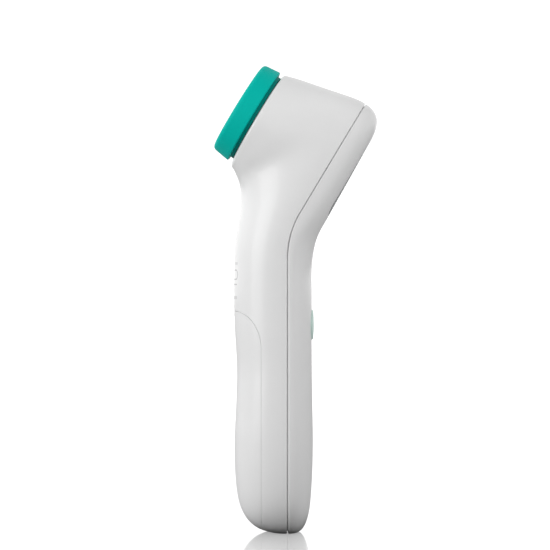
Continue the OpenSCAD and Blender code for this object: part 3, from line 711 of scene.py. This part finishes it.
def painted_neck_shade(s, color):
    """Painted shade: a darker tone on the cap's neck, just short of the wide part, where the groove
    between the cap and the head lies in shade.
    """
    x = s.math("MULTIPLY", s.axis("X"), -COS)
    z = s.math("SUBTRACT", s.axis("Z"), BEND_HEIGHT * MM)
    out = s.math("ADD", x, s.math("MULTIPLY", z, SIN))
    # Mask of the painted shade: the neck up to just short of the cap's wide part.
    neck = s.math("LESS_THAN", out, (NOSE_DEPTH + CAP_GAP + CAP_NECK_H - 0.05) * MM)
    return s.mix(neck, color, NECK_SHADE_COLOR)


def plated(name, color, roughness, streak_mm=0.12, depth=0.002):
    """Plated or bare metal with fine scratches."""
    s = Shader(name)
    stretched = s.pattern("ShaderNodeMapping")
    stretched.inputs["Scale"].default_value = (1, 1, 0.12)
    scratches = s.noise(streak_mm, 3, stretched.outputs[0])
    s.set(
        Base_Color=s.mix(s.noise(1.5, 3), tint(color, 0.88), tint(color, 1.08)),
        Roughness=s.between(scratches, roughness - 0.08, roughness + 0.08),
        Metallic=1.0,
    )
    s.bump(scratches, depth)


def circuit(name):
    """Green solder mask over copper tracks, with tinned pads."""
    s = Shader(name)
    bricks = s.pattern("ShaderNodeTexBrick", Scale=330, Mortar_Size=0.06, Mortar_Smooth=0.2)
    tracks = bricks.outputs["Fac"]
    dots = s.pattern("ShaderNodeTexVoronoi", Scale=420, Randomness=0.35)
    pad = s.math("LESS_THAN", dots.outputs["Distance"], 0.16)
    mask = s.mix(tracks, (0.010, 0.085, 0.035), (0.022, 0.17, 0.075))
    s.set(
        Base_Color=s.mix(pad, mask, (0.72, 0.70, 0.64)),
        Metallic=pad,
        Roughness=s.between(s.noise(0.8), 0.28, 0.42),
    )
    s.bump(s.math("ADD", tracks, pad), 0.02)


# Length of a battery cell, and as shares of it the ends of its jacket, the start of the jacket's
# copper band and the half width of the pale line there.
CELL_LENGTH = 44.5
CELL_JACKET = (0.022, 0.958)
CELL_BAND = 0.74
CELL_LINE = 0.012


def cell_jacket(name, low_mm, tip_up):
    """A battery's plain jacket with bare ends; low_mm is the height of its lower end."""
    s = Shader(name)
    height = s.math("MULTIPLY", s.math("SUBTRACT", s.axis("Z"), low_mm * MM), 1 / (CELL_LENGTH * MM))
    if not tip_up:
        height = s.math("SUBTRACT", 1.0, height)
    low, high = CELL_JACKET
    bare = s.math("MAXIMUM", s.math("LESS_THAN", height, low), s.math("GREATER_THAN", height, high))
    band = s.math("GREATER_THAN", height, CELL_BAND)
    from_line = s.math("ABSOLUTE", s.math("SUBTRACT", height, CELL_BAND))
    jacket = s.mix(band, (0.035, 0.04, 0.05), (0.50, 0.30, 0.12))
    jacket = s.mix(s.math("LESS_THAN", from_line, CELL_LINE), jacket, (0.75, 0.75, 0.74))
    worn = s.mix(s.noise(0.6, 4), jacket, (0.072, 0.078, 0.09))
    s.set(
        Base_Color=s.mix(bare, s.mix(0.15, jacket, worn), (0.74, 0.74, 0.75)),
        Metallic=s.math("MAXIMUM", bare, s.math("MULTIPLY", band, 0.6)),
        Roughness=s.between(s.noise(1.2, 3), 0.22, 0.34),
    )
    s.bump(s.noise(0.5, 2), 0.003)


def striped_film(name, line_spacing=0.9):
    """Amber film with copper lines running along it."""
    s = Shader(name)
    across = s.math("MULTIPLY", s.axis("Y"), 1000 / line_spacing)
    line = s.math("GREATER_THAN", s.math("PINGPONG", across, 0.5), 0.22)
    s.set(
        Base_Color=s.mix(line, (0.52, 0.20, 0.03), (0.75, 0.38, 0.12)),
        Roughness=s.between(s.noise(0.8), 0.25, 0.4),
    )
    s.bump(line, 0.02)


def clear_window(name):
    """Smoke-tinted clear plastic over the display."""
    s = Shader(name)
    s.set(
        Base_Color=s.mix(s.noise(14.0), (0.50, 0.53, 0.54), (0.56, 0.59, 0.60)),
        Roughness=s.between(s.noise(3.0), 0.03, 0.07),
        Transmission_Weight=0.92,
        IOR=1.49,
    )
    s.bump(s.noise(4.0), 0.002)


def liquid_crystal(name, half_width=10.2):
    """An unlit panel: grey-green, with the faint grid of its electrodes and a dark border."""
    s = Shader(name)
    cells = s.pattern("ShaderNodeTexBrick", Scale=260, Mortar_Size=0.03)
    border = s.math("GREATER_THAN", s.math("ABSOLUTE", s.axis("Y")), half_width * MM)
    panel = s.mix(cells.outputs["Fac"], (0.30, 0.36, 0.30), (0.25, 0.31, 0.26))
    s.set(
        Base_Color=s.mix(border, panel, (0.06, 0.065, 0.06)),
        Roughness=s.between(s.noise(2.0), 0.12, 0.2),
    )
    s.bump(s.noise(1.0), 0.002)


CASING = {"color": (0.80, 0.80, 0.80), "roughness": 0.34, "Coat_Weight": 0.25, "Coat_Roughness": 0.12}
moulded("casing_white", **CASING)
moulded("casing_printed", **CASING, paint=marks)
# The cap gets painted shade on its neck: a darker teal where the groove behind the cap is in shade.
moulded("cap_teal", (0.0, 0.485, 0.415), 0.5, mottle=0.03, paint=painted_neck_shade, Specular_IOR_Level=0.06)
# Colour and roughness, and where given the size and depth of the grain and the drift of the colour.
moulded("button_mint", (0.70, 0.88, 0.82), 0.40, mottle=0.03)
moulded("inner_plastic", (0.66, 0.67, 0.67), 0.45, 0.5, 0.008, 0.03)
moulded("black_plastic", (0.025, 0.025, 0.028), 0.45, 0.3, 0.006, 0.2)
moulded("chip_black", (0.02, 0.02, 0.022), 0.55, 0.12, 0.006, 0.25)
moulded("elastomer", (0.03, 0.03, 0.035), 0.7, 0.2, 0.008, 0.2)
moulded("diffuser", (0.78, 0.82, 0.80), 0.3, 0.6, 0.006, 0.02)
moulded("component_body", (0.42, 0.33, 0.22), 0.4, 0.3, 0.008, 0.3)
moulded("lead_red", (0.48, 0.02, 0.02), 0.35, 0.4, 0.01, 0.08)
moulded("probe_window", (0.03, 0.032, 0.04), 0.08, 2.0, 0.002, 0.2)
# Colour and roughness, and where given the size and depth of the scratches.
plated("screw_steel", (0.55, 0.56, 0.58), 0.32)
plated("spring_steel", (0.62, 0.63, 0.65), 0.25)
plated("magnet_nickel", (0.66, 0.66, 0.68), 0.18, 0.3, 0.001)
plated("gold_plate", (0.83, 0.58, 0.22), 0.25, 0.25, 0.001)
plated("contact_metal", (0.72, 0.64, 0.48), 0.3)
circuit("circuit_board")
striped_film("flex_amber")
clear_window("window_clear")
liquid_crystal("lcd_glass")
cell_jacket("cell_jacket_left", 16.3, True)
cell_jacket("cell_jacket_right", 13.6, False)

# Looks that differ from the slot's own.
OWN_LOOK = {
    "front_shell": "casing_printed",
    "battery_cell_left": "cell_jacket_left",
    "battery_cell_right": "cell_jacket_right",
}
SLOT_OF = {s["node"]: s["material_slot"] for s in frame["record"]["subparts"]}
BODY_OF = {n: b for b, ns in frame["record"]["behaviour"]["bodies"].items() for n in ns}


def look_of(node):
    """The material of a CAD node and of the piece that stands for it."""
    return LOOKS[OWN_LOOK.get(node, SLOT_OF[node])]


def finish_piece(solid, node, sharp=38):
    """Makes a piece that stands for a CAD node, with that node's body and material slot."""
    obj = solid.make(node + "_visual", sharp)
    obj.data.materials.append(look_of(node))
    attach(obj, BODY_OF[node])
    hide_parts(node)
    return obj


# -------------------- casing pieces


def trim(solid, g, field, roll, first=0.0, depth=None, closed_end=False):
    """Adds the body's sheet where g is positive, between two depths below its surface."""
    outer = OUTER - SHADE * first
    inner = INNER if depth is None else OUTER - SHADE * depth
    solid.add_sheet(Sheet(outer, inner, NORMALS, g, closed_end), field, roll)


def add_band(solid, line, low, high, first, depth):
    """Adds a strip of the body between two distances from a line and two depths."""
    def field(p):
        return np.minimum(line(p) - low, high - line(p))

    trim(solid, np.minimum(FIELD[line] - low, high - FIELD[line]), field, 0, first, depth)


def half_width_at(x, z, depth):
    """Half width of the handle's inside at a place, depth below the outer surface."""
    rows = np.array(HANDLE_ROWS)
    reach = FRONT_DEPTH * np.interp(z, rows[:, 0], rows[:, 1])
    wide = HALF_WIDTH * np.interp(z, rows[:, 0], rows[:, 3])
    full = HANDLE_FULLNESS[0]
    return wide * max(0.0, 1 - (abs(x) / reach) ** full) ** (1 / full) - depth


def level_ring(front, back, half_width, z):
    """Corners of a level rectangle between two places in X."""
    corners = ((back, -half_width), (back, half_width), (front, half_width), (front, -half_width))
    return np.array([(x, y, z) for x, y in corners])


def along_x(x, side, height):
    """Places a lathe with its axis along +X."""
    return lambda a, b, h: np.stack([x + h + 0 * a, side + b, height - a], -1)


def along_nose(out, side=0.0, rise=NOSE_RISE):
    """Places a lathe with its axis along the nose axis."""
    return lambda a, b, h: from_head(rise + a, side + b, out + h + 0 * a)


# Cross walls of the front shell: front, back, distance from the outer surface, and the lower and
# upper edge of each.
WALL_FRONT = -3.8
WALL_BACK = -2.2
WALL_INSET = 1.2
CROSS_WALLS = ((63.0, 74.0), (2.2, 11.0))


def build_front_shell():
    beside_door = FIELD[door] - door_gap(OUTER) - DOOR_EDGE_R
    g = np.minimum(-FIELD[parting] - SEAM / 2 - seam_roll(OUTER), beside_door)
    solid = Solid()
    trim(solid, g, lambda p: np.minimum(-parting(p), door(p)), shell_roll, closed_end=True)
    for low, high in CROSS_WALLS:
        rings = []
        for z in np.linspace(low, high, 12):
            half_width = half_width_at((WALL_FRONT + WALL_BACK) / 2, z, WALL_INSET)
            rings.append(level_ring(WALL_FRONT, WALL_BACK, half_width, z))
        solid.add_tube(rings)
    finish_piece(solid, "front_shell")


# Strips inside the rear cover: the line that each follows, how far it reaches to both sides of the
# line, and its depths. They are the step that closes the seam, the tongue along the rim, the
# tongue's root, and the ledge that the display window rests on.
REAR_BANDS = (
    (parting, -SEAM / 2 + 0.03, 1.0, SEAM_DEPTH, WALL - 0.05),
    (parting, -1.4, 0.9, WALL + 0.15, WALL + 1.15),
    (parting, 0.5, 1.7, WALL - 0.3, WALL + 1.25),
    (window, -WINDOW_LEDGE, 0.5, WINDOW_T + 0.05, WALL - 0.05),
)
# Screw bosses of the rear cover: how they lie, their radius, bore, low end and high end, and their
# places as side and height, or in the head as side and rise.
BOSSES = (
    (along_x, (2.6, 1.05, -1.0, 4.6), ((-9.5, 68.0), (9.5, 68.0), (0.0, 7.4))),
    (along_x, (2.0, 0.85, 1.5, 6.6), ((0.0, 61.5), (0.0, 79.5))),
    (along_nose, (2.0, 0.85, -5.6, -1.2), ((-12.0, 8.5), (12.0, 8.5), (-11.5, 42.0), (11.5, 42.0))),
)
BOSS_CHAMFER = 0.15


def build_rear_cover():
    def field(p):
        return np.minimum(np.minimum(parting(p) - SEAM / 2, window(p) - WINDOW_GAP), button_hole(p))

    def roll(p):
        near_seam = parting(p) < 2
        return np.where(near_seam, seam_roll(p), FINE_EDGE_R)

    openings = np.minimum(FIELD[window] - WINDOW_GAP, FIELD[button_hole]) - FINE_EDGE_R
    solid = Solid()
    trim(solid, np.minimum(FIELD[parting] - SEAM / 2 - seam_roll(OUTER), openings), field, roll)
    for band in REAR_BANDS:
        add_band(solid, *band)
    for axis, (radius, bore, low, high), places in BOSSES:
        inner_r, chamfer = radius - BOSS_CHAMFER, low + BOSS_CHAMFER
        profile = [(bore, low), (inner_r, low), (radius, chamfer), (radius, high), (bore, high)]
        for side, up in places:
            solid.add_lathe(profile, 40, axis(0, side, up))
    finish_piece(solid, "rear_cover")


# The battery door's snap tongue, which reaches under the shell above the arch: the height, front
# and back of its sections, and its half width.
SNAP_ROWS = (
    (66.8, -15.9, -14.2), (72.3, -15.9, -14.2), (72.7, -15.2, -14.2), (74.8, -15.1, -14.3),
    (75.3, -14.9, -14.4),
)
SNAP_HALF_WIDTH = 4.0


def build_battery_door():
    solid = Solid()
    trim(solid, -FIELD[door] - door_gap(OUTER) - DOOR_EDGE_R, lambda p: -door(p), DOOR_EDGE_R)
    solid.add_tube([level_ring(front, back, SNAP_HALF_WIDTH, z) for z, front, back in SNAP_ROWS])
    finish_piece(solid, "battery_door")


def build_display_window():
    solid = Solid()
    g = -FIELD[window] - WINDOW_GAP - FINE_EDGE_R
    trim(solid, g, lambda p: -window(p), FINE_EDGE_R, depth=WINDOW_T)
    finish_piece(solid, "display_window")


# -------------------- turned and swept pieces


def rounded(corners, steps=6):
    """A closed profile from (radius, height, fillet) corners, with its corners rounded."""
    points = []
    n = len(corners)
    for k in range(n):
        p = np.array(corners[k][:2], float)
        fillet = corners[k][2]
        before, after = (np.array(corners[j % n][:2], float) for j in (k - 1, k + 1))
        if fillet <= 0:
            points.append(tuple(p))
            continue
        a, b = unit(before - p), unit(after - p)
        # A fillet takes less than half of the sides next to it.
        cut = min(fillet, 0.48 * norm(before - p), 0.48 * norm(after - p))
        for t in np.linspace(0, 1, steps + 1):
            q = (p + a * cut) * (1 - t) ** 2 + p * 2 * t * (1 - t) + (p + b * cut) * t**2
            points.append(tuple(q))
    return points


def turned_piece(node, profile, segments, place):
    """A piece that is a profile turned round an axis."""
    solid = Solid()
    solid.add_lathe(profile, segments, place)
    return finish_piece(solid, node, sharp=50)


def cut_away(obj, solid):
    """Cuts a solid out of an object's mesh."""
    cutter = solid.make("cutter")
    modifier = obj.modifiers.new("pockets", "BOOLEAN")
    modifier.object, modifier.operation, modifier.solver = cutter, "DIFFERENCE", "EXACT"
    settled = obj.evaluated_get(bpy.context.evaluated_depsgraph_get())
    mesh = bpy.data.meshes.new_from_object(settled)
    obj.modifiers.clear()
    obj.data = mesh
    # The cut leaves a few slivers, which go.
    cleaned = bmesh.new()
    cleaned.from_mesh(mesh)
    bmesh.ops.dissolve_degenerate(cleaned, dist=0.002 * MM, edges=cleaned.edges)
    loose = [f for f in cleaned.faces if all(len(e.link_faces) != 2 for e in f.edges)]
    bmesh.ops.delete(cleaned, geom=loose, context="FACES")
    cleaned.to_mesh(mesh)
    cleaned.free()
    mesh.set_sharp_from_angle(angle=math.radians(50))
    bpy.data.objects.remove(cutter)


# Dish in the cap's front round the opening: how far out it starts, how far in it runs, its depth,
# and the steps of its curve.
DISH_START = 6.4
DISH_RUN = 5.8
DISH_DEPTH = 1.1
DISH_STEPS = 7


def build_cap():
    back = NOSE_DEPTH + CAP_GAP
    recess_r = COLLAR_R + 0.15
    recess_h = COLLAR_H - CAP_GAP + 0.2
    dish = []
    for i in range(DISH_STEPS + 1):
        sunk = DISH_DEPTH * math.sin(math.radians(90 * i / DISH_STEPS))
        dish.append((CAP_OPENING_R + DISH_START - DISH_RUN * i / DISH_STEPS, CAP_H - sunk, 0))
    profile = rounded([
        (recess_r, 0, 0.25), (CAP_NECK_R, 0, 0.1), (CAP_NECK_R, CAP_NECK_H, 0.3),
        (CAP_BACK_R, CAP_NECK_H, 0.5), (CAP_FRONT_R, CAP_H, 2.9), *dish,
        (CAP_OPENING_R, CAP_H - DISH_DEPTH, 0.6), (CAP_OPENING_R, recess_h, 0.15),
        (recess_r, recess_h, 0.1),
    ], 8)

    def place(a, b, h):
        # The front of the cap leans a little up the head, and its opening and recess don't.
        r = np.hypot(a, b)
        in_front = h > recess_h + 0.01
        share = np.clip((r - CAP_OPENING_R) / 6, 0, 1) if in_front else r > recess_r + 0.35
        lift = CAP_LIFT * h / CAP_H * share
        lean = CAP_LEAN * a / CAP_FRONT_R * h / CAP_H * share
        return from_head(NOSE_RISE + a + lift, b, back + h - lean)

    cap = turned_piece("forehead_cap", profile, 144, place)

    # Pockets for the magnets in the floor of the recess.
    pockets = Solid()
    r, low, high = MAGNET_R + 0.05, -0.4, MAGNET_H + 0.03
    for angle in MAGNET_ANGLES:
        rise = NOSE_RISE + MAGNET_RING * math.cos(math.radians(angle))
        side = MAGNET_RING * math.sin(math.radians(angle))
        pocket = [(0, low), (r, low), (r, high), (0, high)]
        pockets.add_lathe(pocket, 32, along_nose(back + recess_h, side, rise))
    cut_away(cap, pockets)


def build_button():
    top = REAR_DEPTH + BUTTON_PROUD - BUTTON_SEAT
    stem_r, stem_h = 1.5, 0.4
    flange_r, flange_top = 6.0, 1.0
    side_r, dome_r, dome_h = BUTTON_R - 0.05, BUTTON_R - 0.7, 0.22
    corners = [
        (0, 0, 0), (stem_r, 0, 0.1), (stem_r, stem_h, 0), (flange_r, stem_h, 0.1),
        (flange_r, flange_top, 0.1), (side_r, flange_top, 0), (side_r, top - 0.35, 0.55),
    ]
    face = [(dome_r * (1 - i / 8), top - dome_h * (1 - i / 8) ** 2, 0) for i in range(9)]
    face[-1] = (0, top, 0)
    turned_piece("scan_button", rounded(corners + face), 96, along_x(BUTTON_SEAT, 0, BUTTON_HEIGHT))


def build_probe_cone():
    tip = NOSE_DEPTH + PROBE_REACH
    base = NOSE_DEPTH - WALL
    flange_r, flange_t, foot_r = 13.8, 1.8, 8.6
    bore_r, sensor_r, sensor_depth = 2.7, 3.1, 0.9
    low_r, narrowing, waist = 7.6, 3.4, 0.5
    cone = []
    for i in range(11):
        radius = low_r - narrowing * i / 10 - waist * math.sin(math.pi * i / 10)
        cone.append((radius, base + 0.4 + (tip - base - 1.2) * i / 10, 0))
    profile = rounded([
        (bore_r, base - flange_t, 0.1), (flange_r, base - flange_t, 0.2), (flange_r, base, 0.2),
        (foot_r, base, 0.6), *cone, (low_r - narrowing, tip, 0.7), (sensor_r, tip, 0.15),
        (sensor_r, tip - sensor_depth, 0), (bore_r, tip - sensor_depth, 0),
    ])
    turned_piece("probe_cone", profile, 96, along_nose(0))


def smooth_path(points, count):
    """A Catmull-Rom curve through points, at even parameter steps."""
    p = np.array(points, float)
    p = np.concatenate([[2 * p[0] - p[1]], p, [2 * p[-1] - p[-2]]])
    made = []
    for t in np.linspace(0, len(p) - 3, count):
        i = min(int(t), len(p) - 4)
        f = t - i
        a, b, c, d = p[i : i + 4]
        made.append(0.5 * (2 * b + (c - a) * f + (2 * a - 5 * b + 4 * c - d) * f**2
                           + (3 * b - a - 3 * c + d) * f**3))
    return np.array(made)


def sweep(solid, path, outline, side=(0, 1, 0)):
    """Sweeps an outline of (across, up) points along a path, with across as near side as it can."""
    along = unit(np.gradient(path, axis=0))
    across = unit(side - along * (side * along).sum(-1, keepdims=True))
    up = np.cross(along, across)
    wide, tall = outline[:, :1], outline[:, 1:]
    solid.add_tube([p + wide * a + tall * u for p, a, u in zip(path, across, up)])


def circle(radius, count):
    a = np.arange(count) / count * 2 * math.pi
    return np.stack([radius * np.cos(a), radius * np.sin(a)], -1)


def strip(width, thickness):
    x, y = width / 2, thickness / 2
    return np.array([(-x, -y), (x, -y), (x, y), (-x, y)])


# Battery springs: side and height of each one's seat, and its direction.
SPRINGS = ((-5.5, 13.5, 1), (5.5, 60.9, -1))


def build_springs():
    axis_x, start, rise = -7.4, 0.3, 2.2
    turns, seat_r, taper, wire_r = 3.2, 3.6, 1.4, 0.28
    # Share of the wire that is wound flat at each end.
    flat = 0.12
    t = np.linspace(0, 1, 168)
    turn, r = 2 * math.pi * turns * t, seat_r - taper * t
    lift = np.cumsum(0.25 + 0.75 * np.clip(np.minimum(t, 1 - t) / flat, 0, 1))
    lift = start + rise * (lift - lift[0]) / (lift[-1] - lift[0])
    out = np.stack([np.cos(turn), np.sin(turn), 0 * turn], -1)
    solid = Solid()
    for side, z, way in SPRINGS:
        centre = np.stack([0 * t + axis_x, 0 * t + side, z + way * lift], -1)
        sweep(solid, centre + out * r[:, None], circle(wire_r, 10), out)
    finish_piece(solid, "battery_springs")


def build_leads():
    lead = circle(0.55, 14)
    solid = Solid()
    for s in (-1, 1):
        stops = [(-7.45, s * 5.5, 62.7), (-7.45, s * 5.5, 70), (-5.6, s * 6, 84), (-4.6, s * 6.6, 92),
                 (-2.6, s * 7.4, 98)]
        stops += [from_head(rise, s * 8, out) for rise, out in ((7.5, 3), (12, 1.2), (14, 0.55))]
        sweep(solid, smooth_path(stops, 64), lead)
    finish_piece(solid, "battery_leads")


def build_flat_cable(node, low, high, count, width, thickness=0.28):
    """A flat cable through places given as (x, height), then through ones given as (rise, out)."""
    stops = [(x, 0, z) for x, z in low] + [from_head(rise, 0, out) for rise, out in high]
    solid = Solid()
    sweep(solid, smooth_path(stops, count), strip(width, thickness))
    finish_piece(solid, node)


RIBBON_LOW = ((0.15, 81.6), (0.05, 84), (-0.35, 89), (-0.25, 95), (0.9, 99.5))
RIBBON_HIGH = ((6, 0.45), (10, 0.17))
SENSOR_CABLE = ((24.7, 11), (24.5, 9.6), (22.1, 6.8), (18.5, 4.4), (17.55, 1.8))

build_front_shell()
build_rear_cover()
build_battery_door()
build_display_window()
build_cap()
build_button()
build_probe_cone()
build_springs()
build_leads()
build_flat_cable("board_ribbon", RIBBON_LOW, RIBBON_HIGH, 48, 7)
build_flat_cable("sensor_cable", (), SENSOR_CABLE, 36, 5)

for node, obj in frame["nodes"].items():
    obj.data.materials.clear()
    obj.data.materials.append(look_of(node))

# -------------------- floor, light and camera


def area_light(name, power, size, location, target):
    data = bpy.data.lights.new(name, "AREA")
    data.energy, data.shape = power, "RECTANGLE"
    data.size, data.size_y = size
    obj = bpy.data.objects.new(name, data)
    obj.location = location
    toward = Vector(target) - Vector(location)
    obj.rotation_euler = toward.to_track_quat("-Z", "Y").to_euler()
    obj.visible_camera = False
    bpy.context.scene.collection.objects.link(obj)
    return obj


# The floor is white to the camera. Close to the foot it sends little light back up, as it would in
# the object's own shade, so the foot turns dark. The shade is longer in Y than in X.
SHADE_SHAPE = {"X": 3.0, "Y": 0.75}
SHADE_START = 0.030
SHADE_REACH = 0.036
FLOOR_SIZE = 8.0
look = Shader("floor_gloss")
camera_ray = look.node("ShaderNodeLightPath").outputs["Is Camera Ray"]
from_foot = length_of(look, *[look.math("MULTIPLY", look.axis(n), k) for n, k in SHADE_SHAPE.items()])
lit = look.math("SUBTRACT", from_foot, SHADE_START)
lit = look.math("MULTIPLY", lit, 1 / SHADE_REACH, clamp=True)
bounce = look.mix(lit, (0.02, 0.02, 0.02), (0.45, 0.45, 0.45))
white = look.mix(look.noise(160.0), (0.30, 0.30, 0.30), (0.33, 0.33, 0.33))
look.set(
    Base_Color=look.mix(camera_ray, bounce, white),
    Roughness=look.between(look.noise(60.0), 0.05, 0.07),
    Emission_Color=(1.0, 1.0, 1.0),
    Specular_IOR_Level=look.math("MULTIPLY", camera_ray, 0.5),
    Emission_Strength=look.math("MULTIPLY", camera_ray, 0.38),
)
half = FLOOR_SIZE / 2
mesh = bpy.data.meshes.new("floor")
mesh.from_pydata([(-half, -half, 0), (half, -half, 0), (half, half, 0), (-half, half, 0)], [], [range(4)])
mesh.materials.append(LOOKS["floor_gloss"])
floor = bpy.data.objects.new("floor", mesh)
bpy.context.scene.collection.objects.link(floor)

# Soft light from all round, brightest on the left, duller overhead, with a white backdrop.
SKY = 1.265
SKY_LEFT = 0.42
SKY_FRONT = 0.36
SKY_TOP = 0.66
world = bpy.data.worlds.new("studio")
world.use_nodes = True
tree = NodeTree(world.node_tree, "Generated")
sky = tree.math("MULTIPLY_ADD", tree.axis("X"), -SKY_LEFT, SKY)
sky = tree.math("MULTIPLY_ADD", tree.math("MAXIMUM", tree.axis("Z"), 0.0), -SKY_TOP, sky)
sky = tree.math("MULTIPLY_ADD", tree.math("MINIMUM", tree.axis("Y"), 0.0), SKY_FRONT, sky)
seen = tree.node("ShaderNodeLightPath").outputs["Is Camera Ray"]
sky = tree.math("MAXIMUM", sky, seen)
tree.fill(tree.nodes["Background"], Strength=sky, Color=(1, 1, 1))
bpy.context.scene.world = world

# Power, size, place and target of each lamp, in watts and metres.
key = area_light("key", 1.3, (0.4, 0.4), (-0.60, -0.36, 0.22), (-0.01, 0, 0.115))
rear_fill = area_light("rear_fill", 0.42, (0.3, 0.12), (0.55, -0.15, 0.07), (0.03, 0, 0.12))
head_fill = area_light("head_fill", 0.15, (0.2, 0.2), (0.12, -0.24, 0.24), (0.02, 0, 0.14))
rear_fill.visible_glossy = False
head_fill.visible_glossy = False
# The glossy floor would mirror the key light as a hard rectangle, so that lamp leaves it out.
unlit = bpy.data.collections.new("left_out_by_key")
unlit.objects.link(floor)
key.light_linking.receiver_collection = unlit
unlit.collection_objects[0].light_linking.link_state = "EXCLUDE"

# The camera looks along +Y at CAMERA_AIM (x, z), where its view is VIEW_WIDTH across.
VIEW_WIDTH = 181.5
CAMERA_AIM = (-4.1, 84.6)
CAMERA_LENS = 150.0
SENSOR_WIDTH = 36.0
camera_data = bpy.data.cameras.new("camera")
camera_data.lens, camera_data.sensor_width = CAMERA_LENS, SENSOR_WIDTH
camera_data.clip_start, camera_data.clip_end = 0.01, 20
camera = bpy.data.objects.new("camera", camera_data)
camera.location = Vector((CAMERA_AIM[0], -VIEW_WIDTH * CAMERA_LENS / SENSOR_WIDTH, CAMERA_AIM[1])) * MM
camera.rotation_euler = (math.radians(90), 0, 0)
bpy.context.scene.collection.objects.link(camera)
bpy.context.scene.camera = camera
bpy.context.scene.view_settings.view_transform = "Standard"
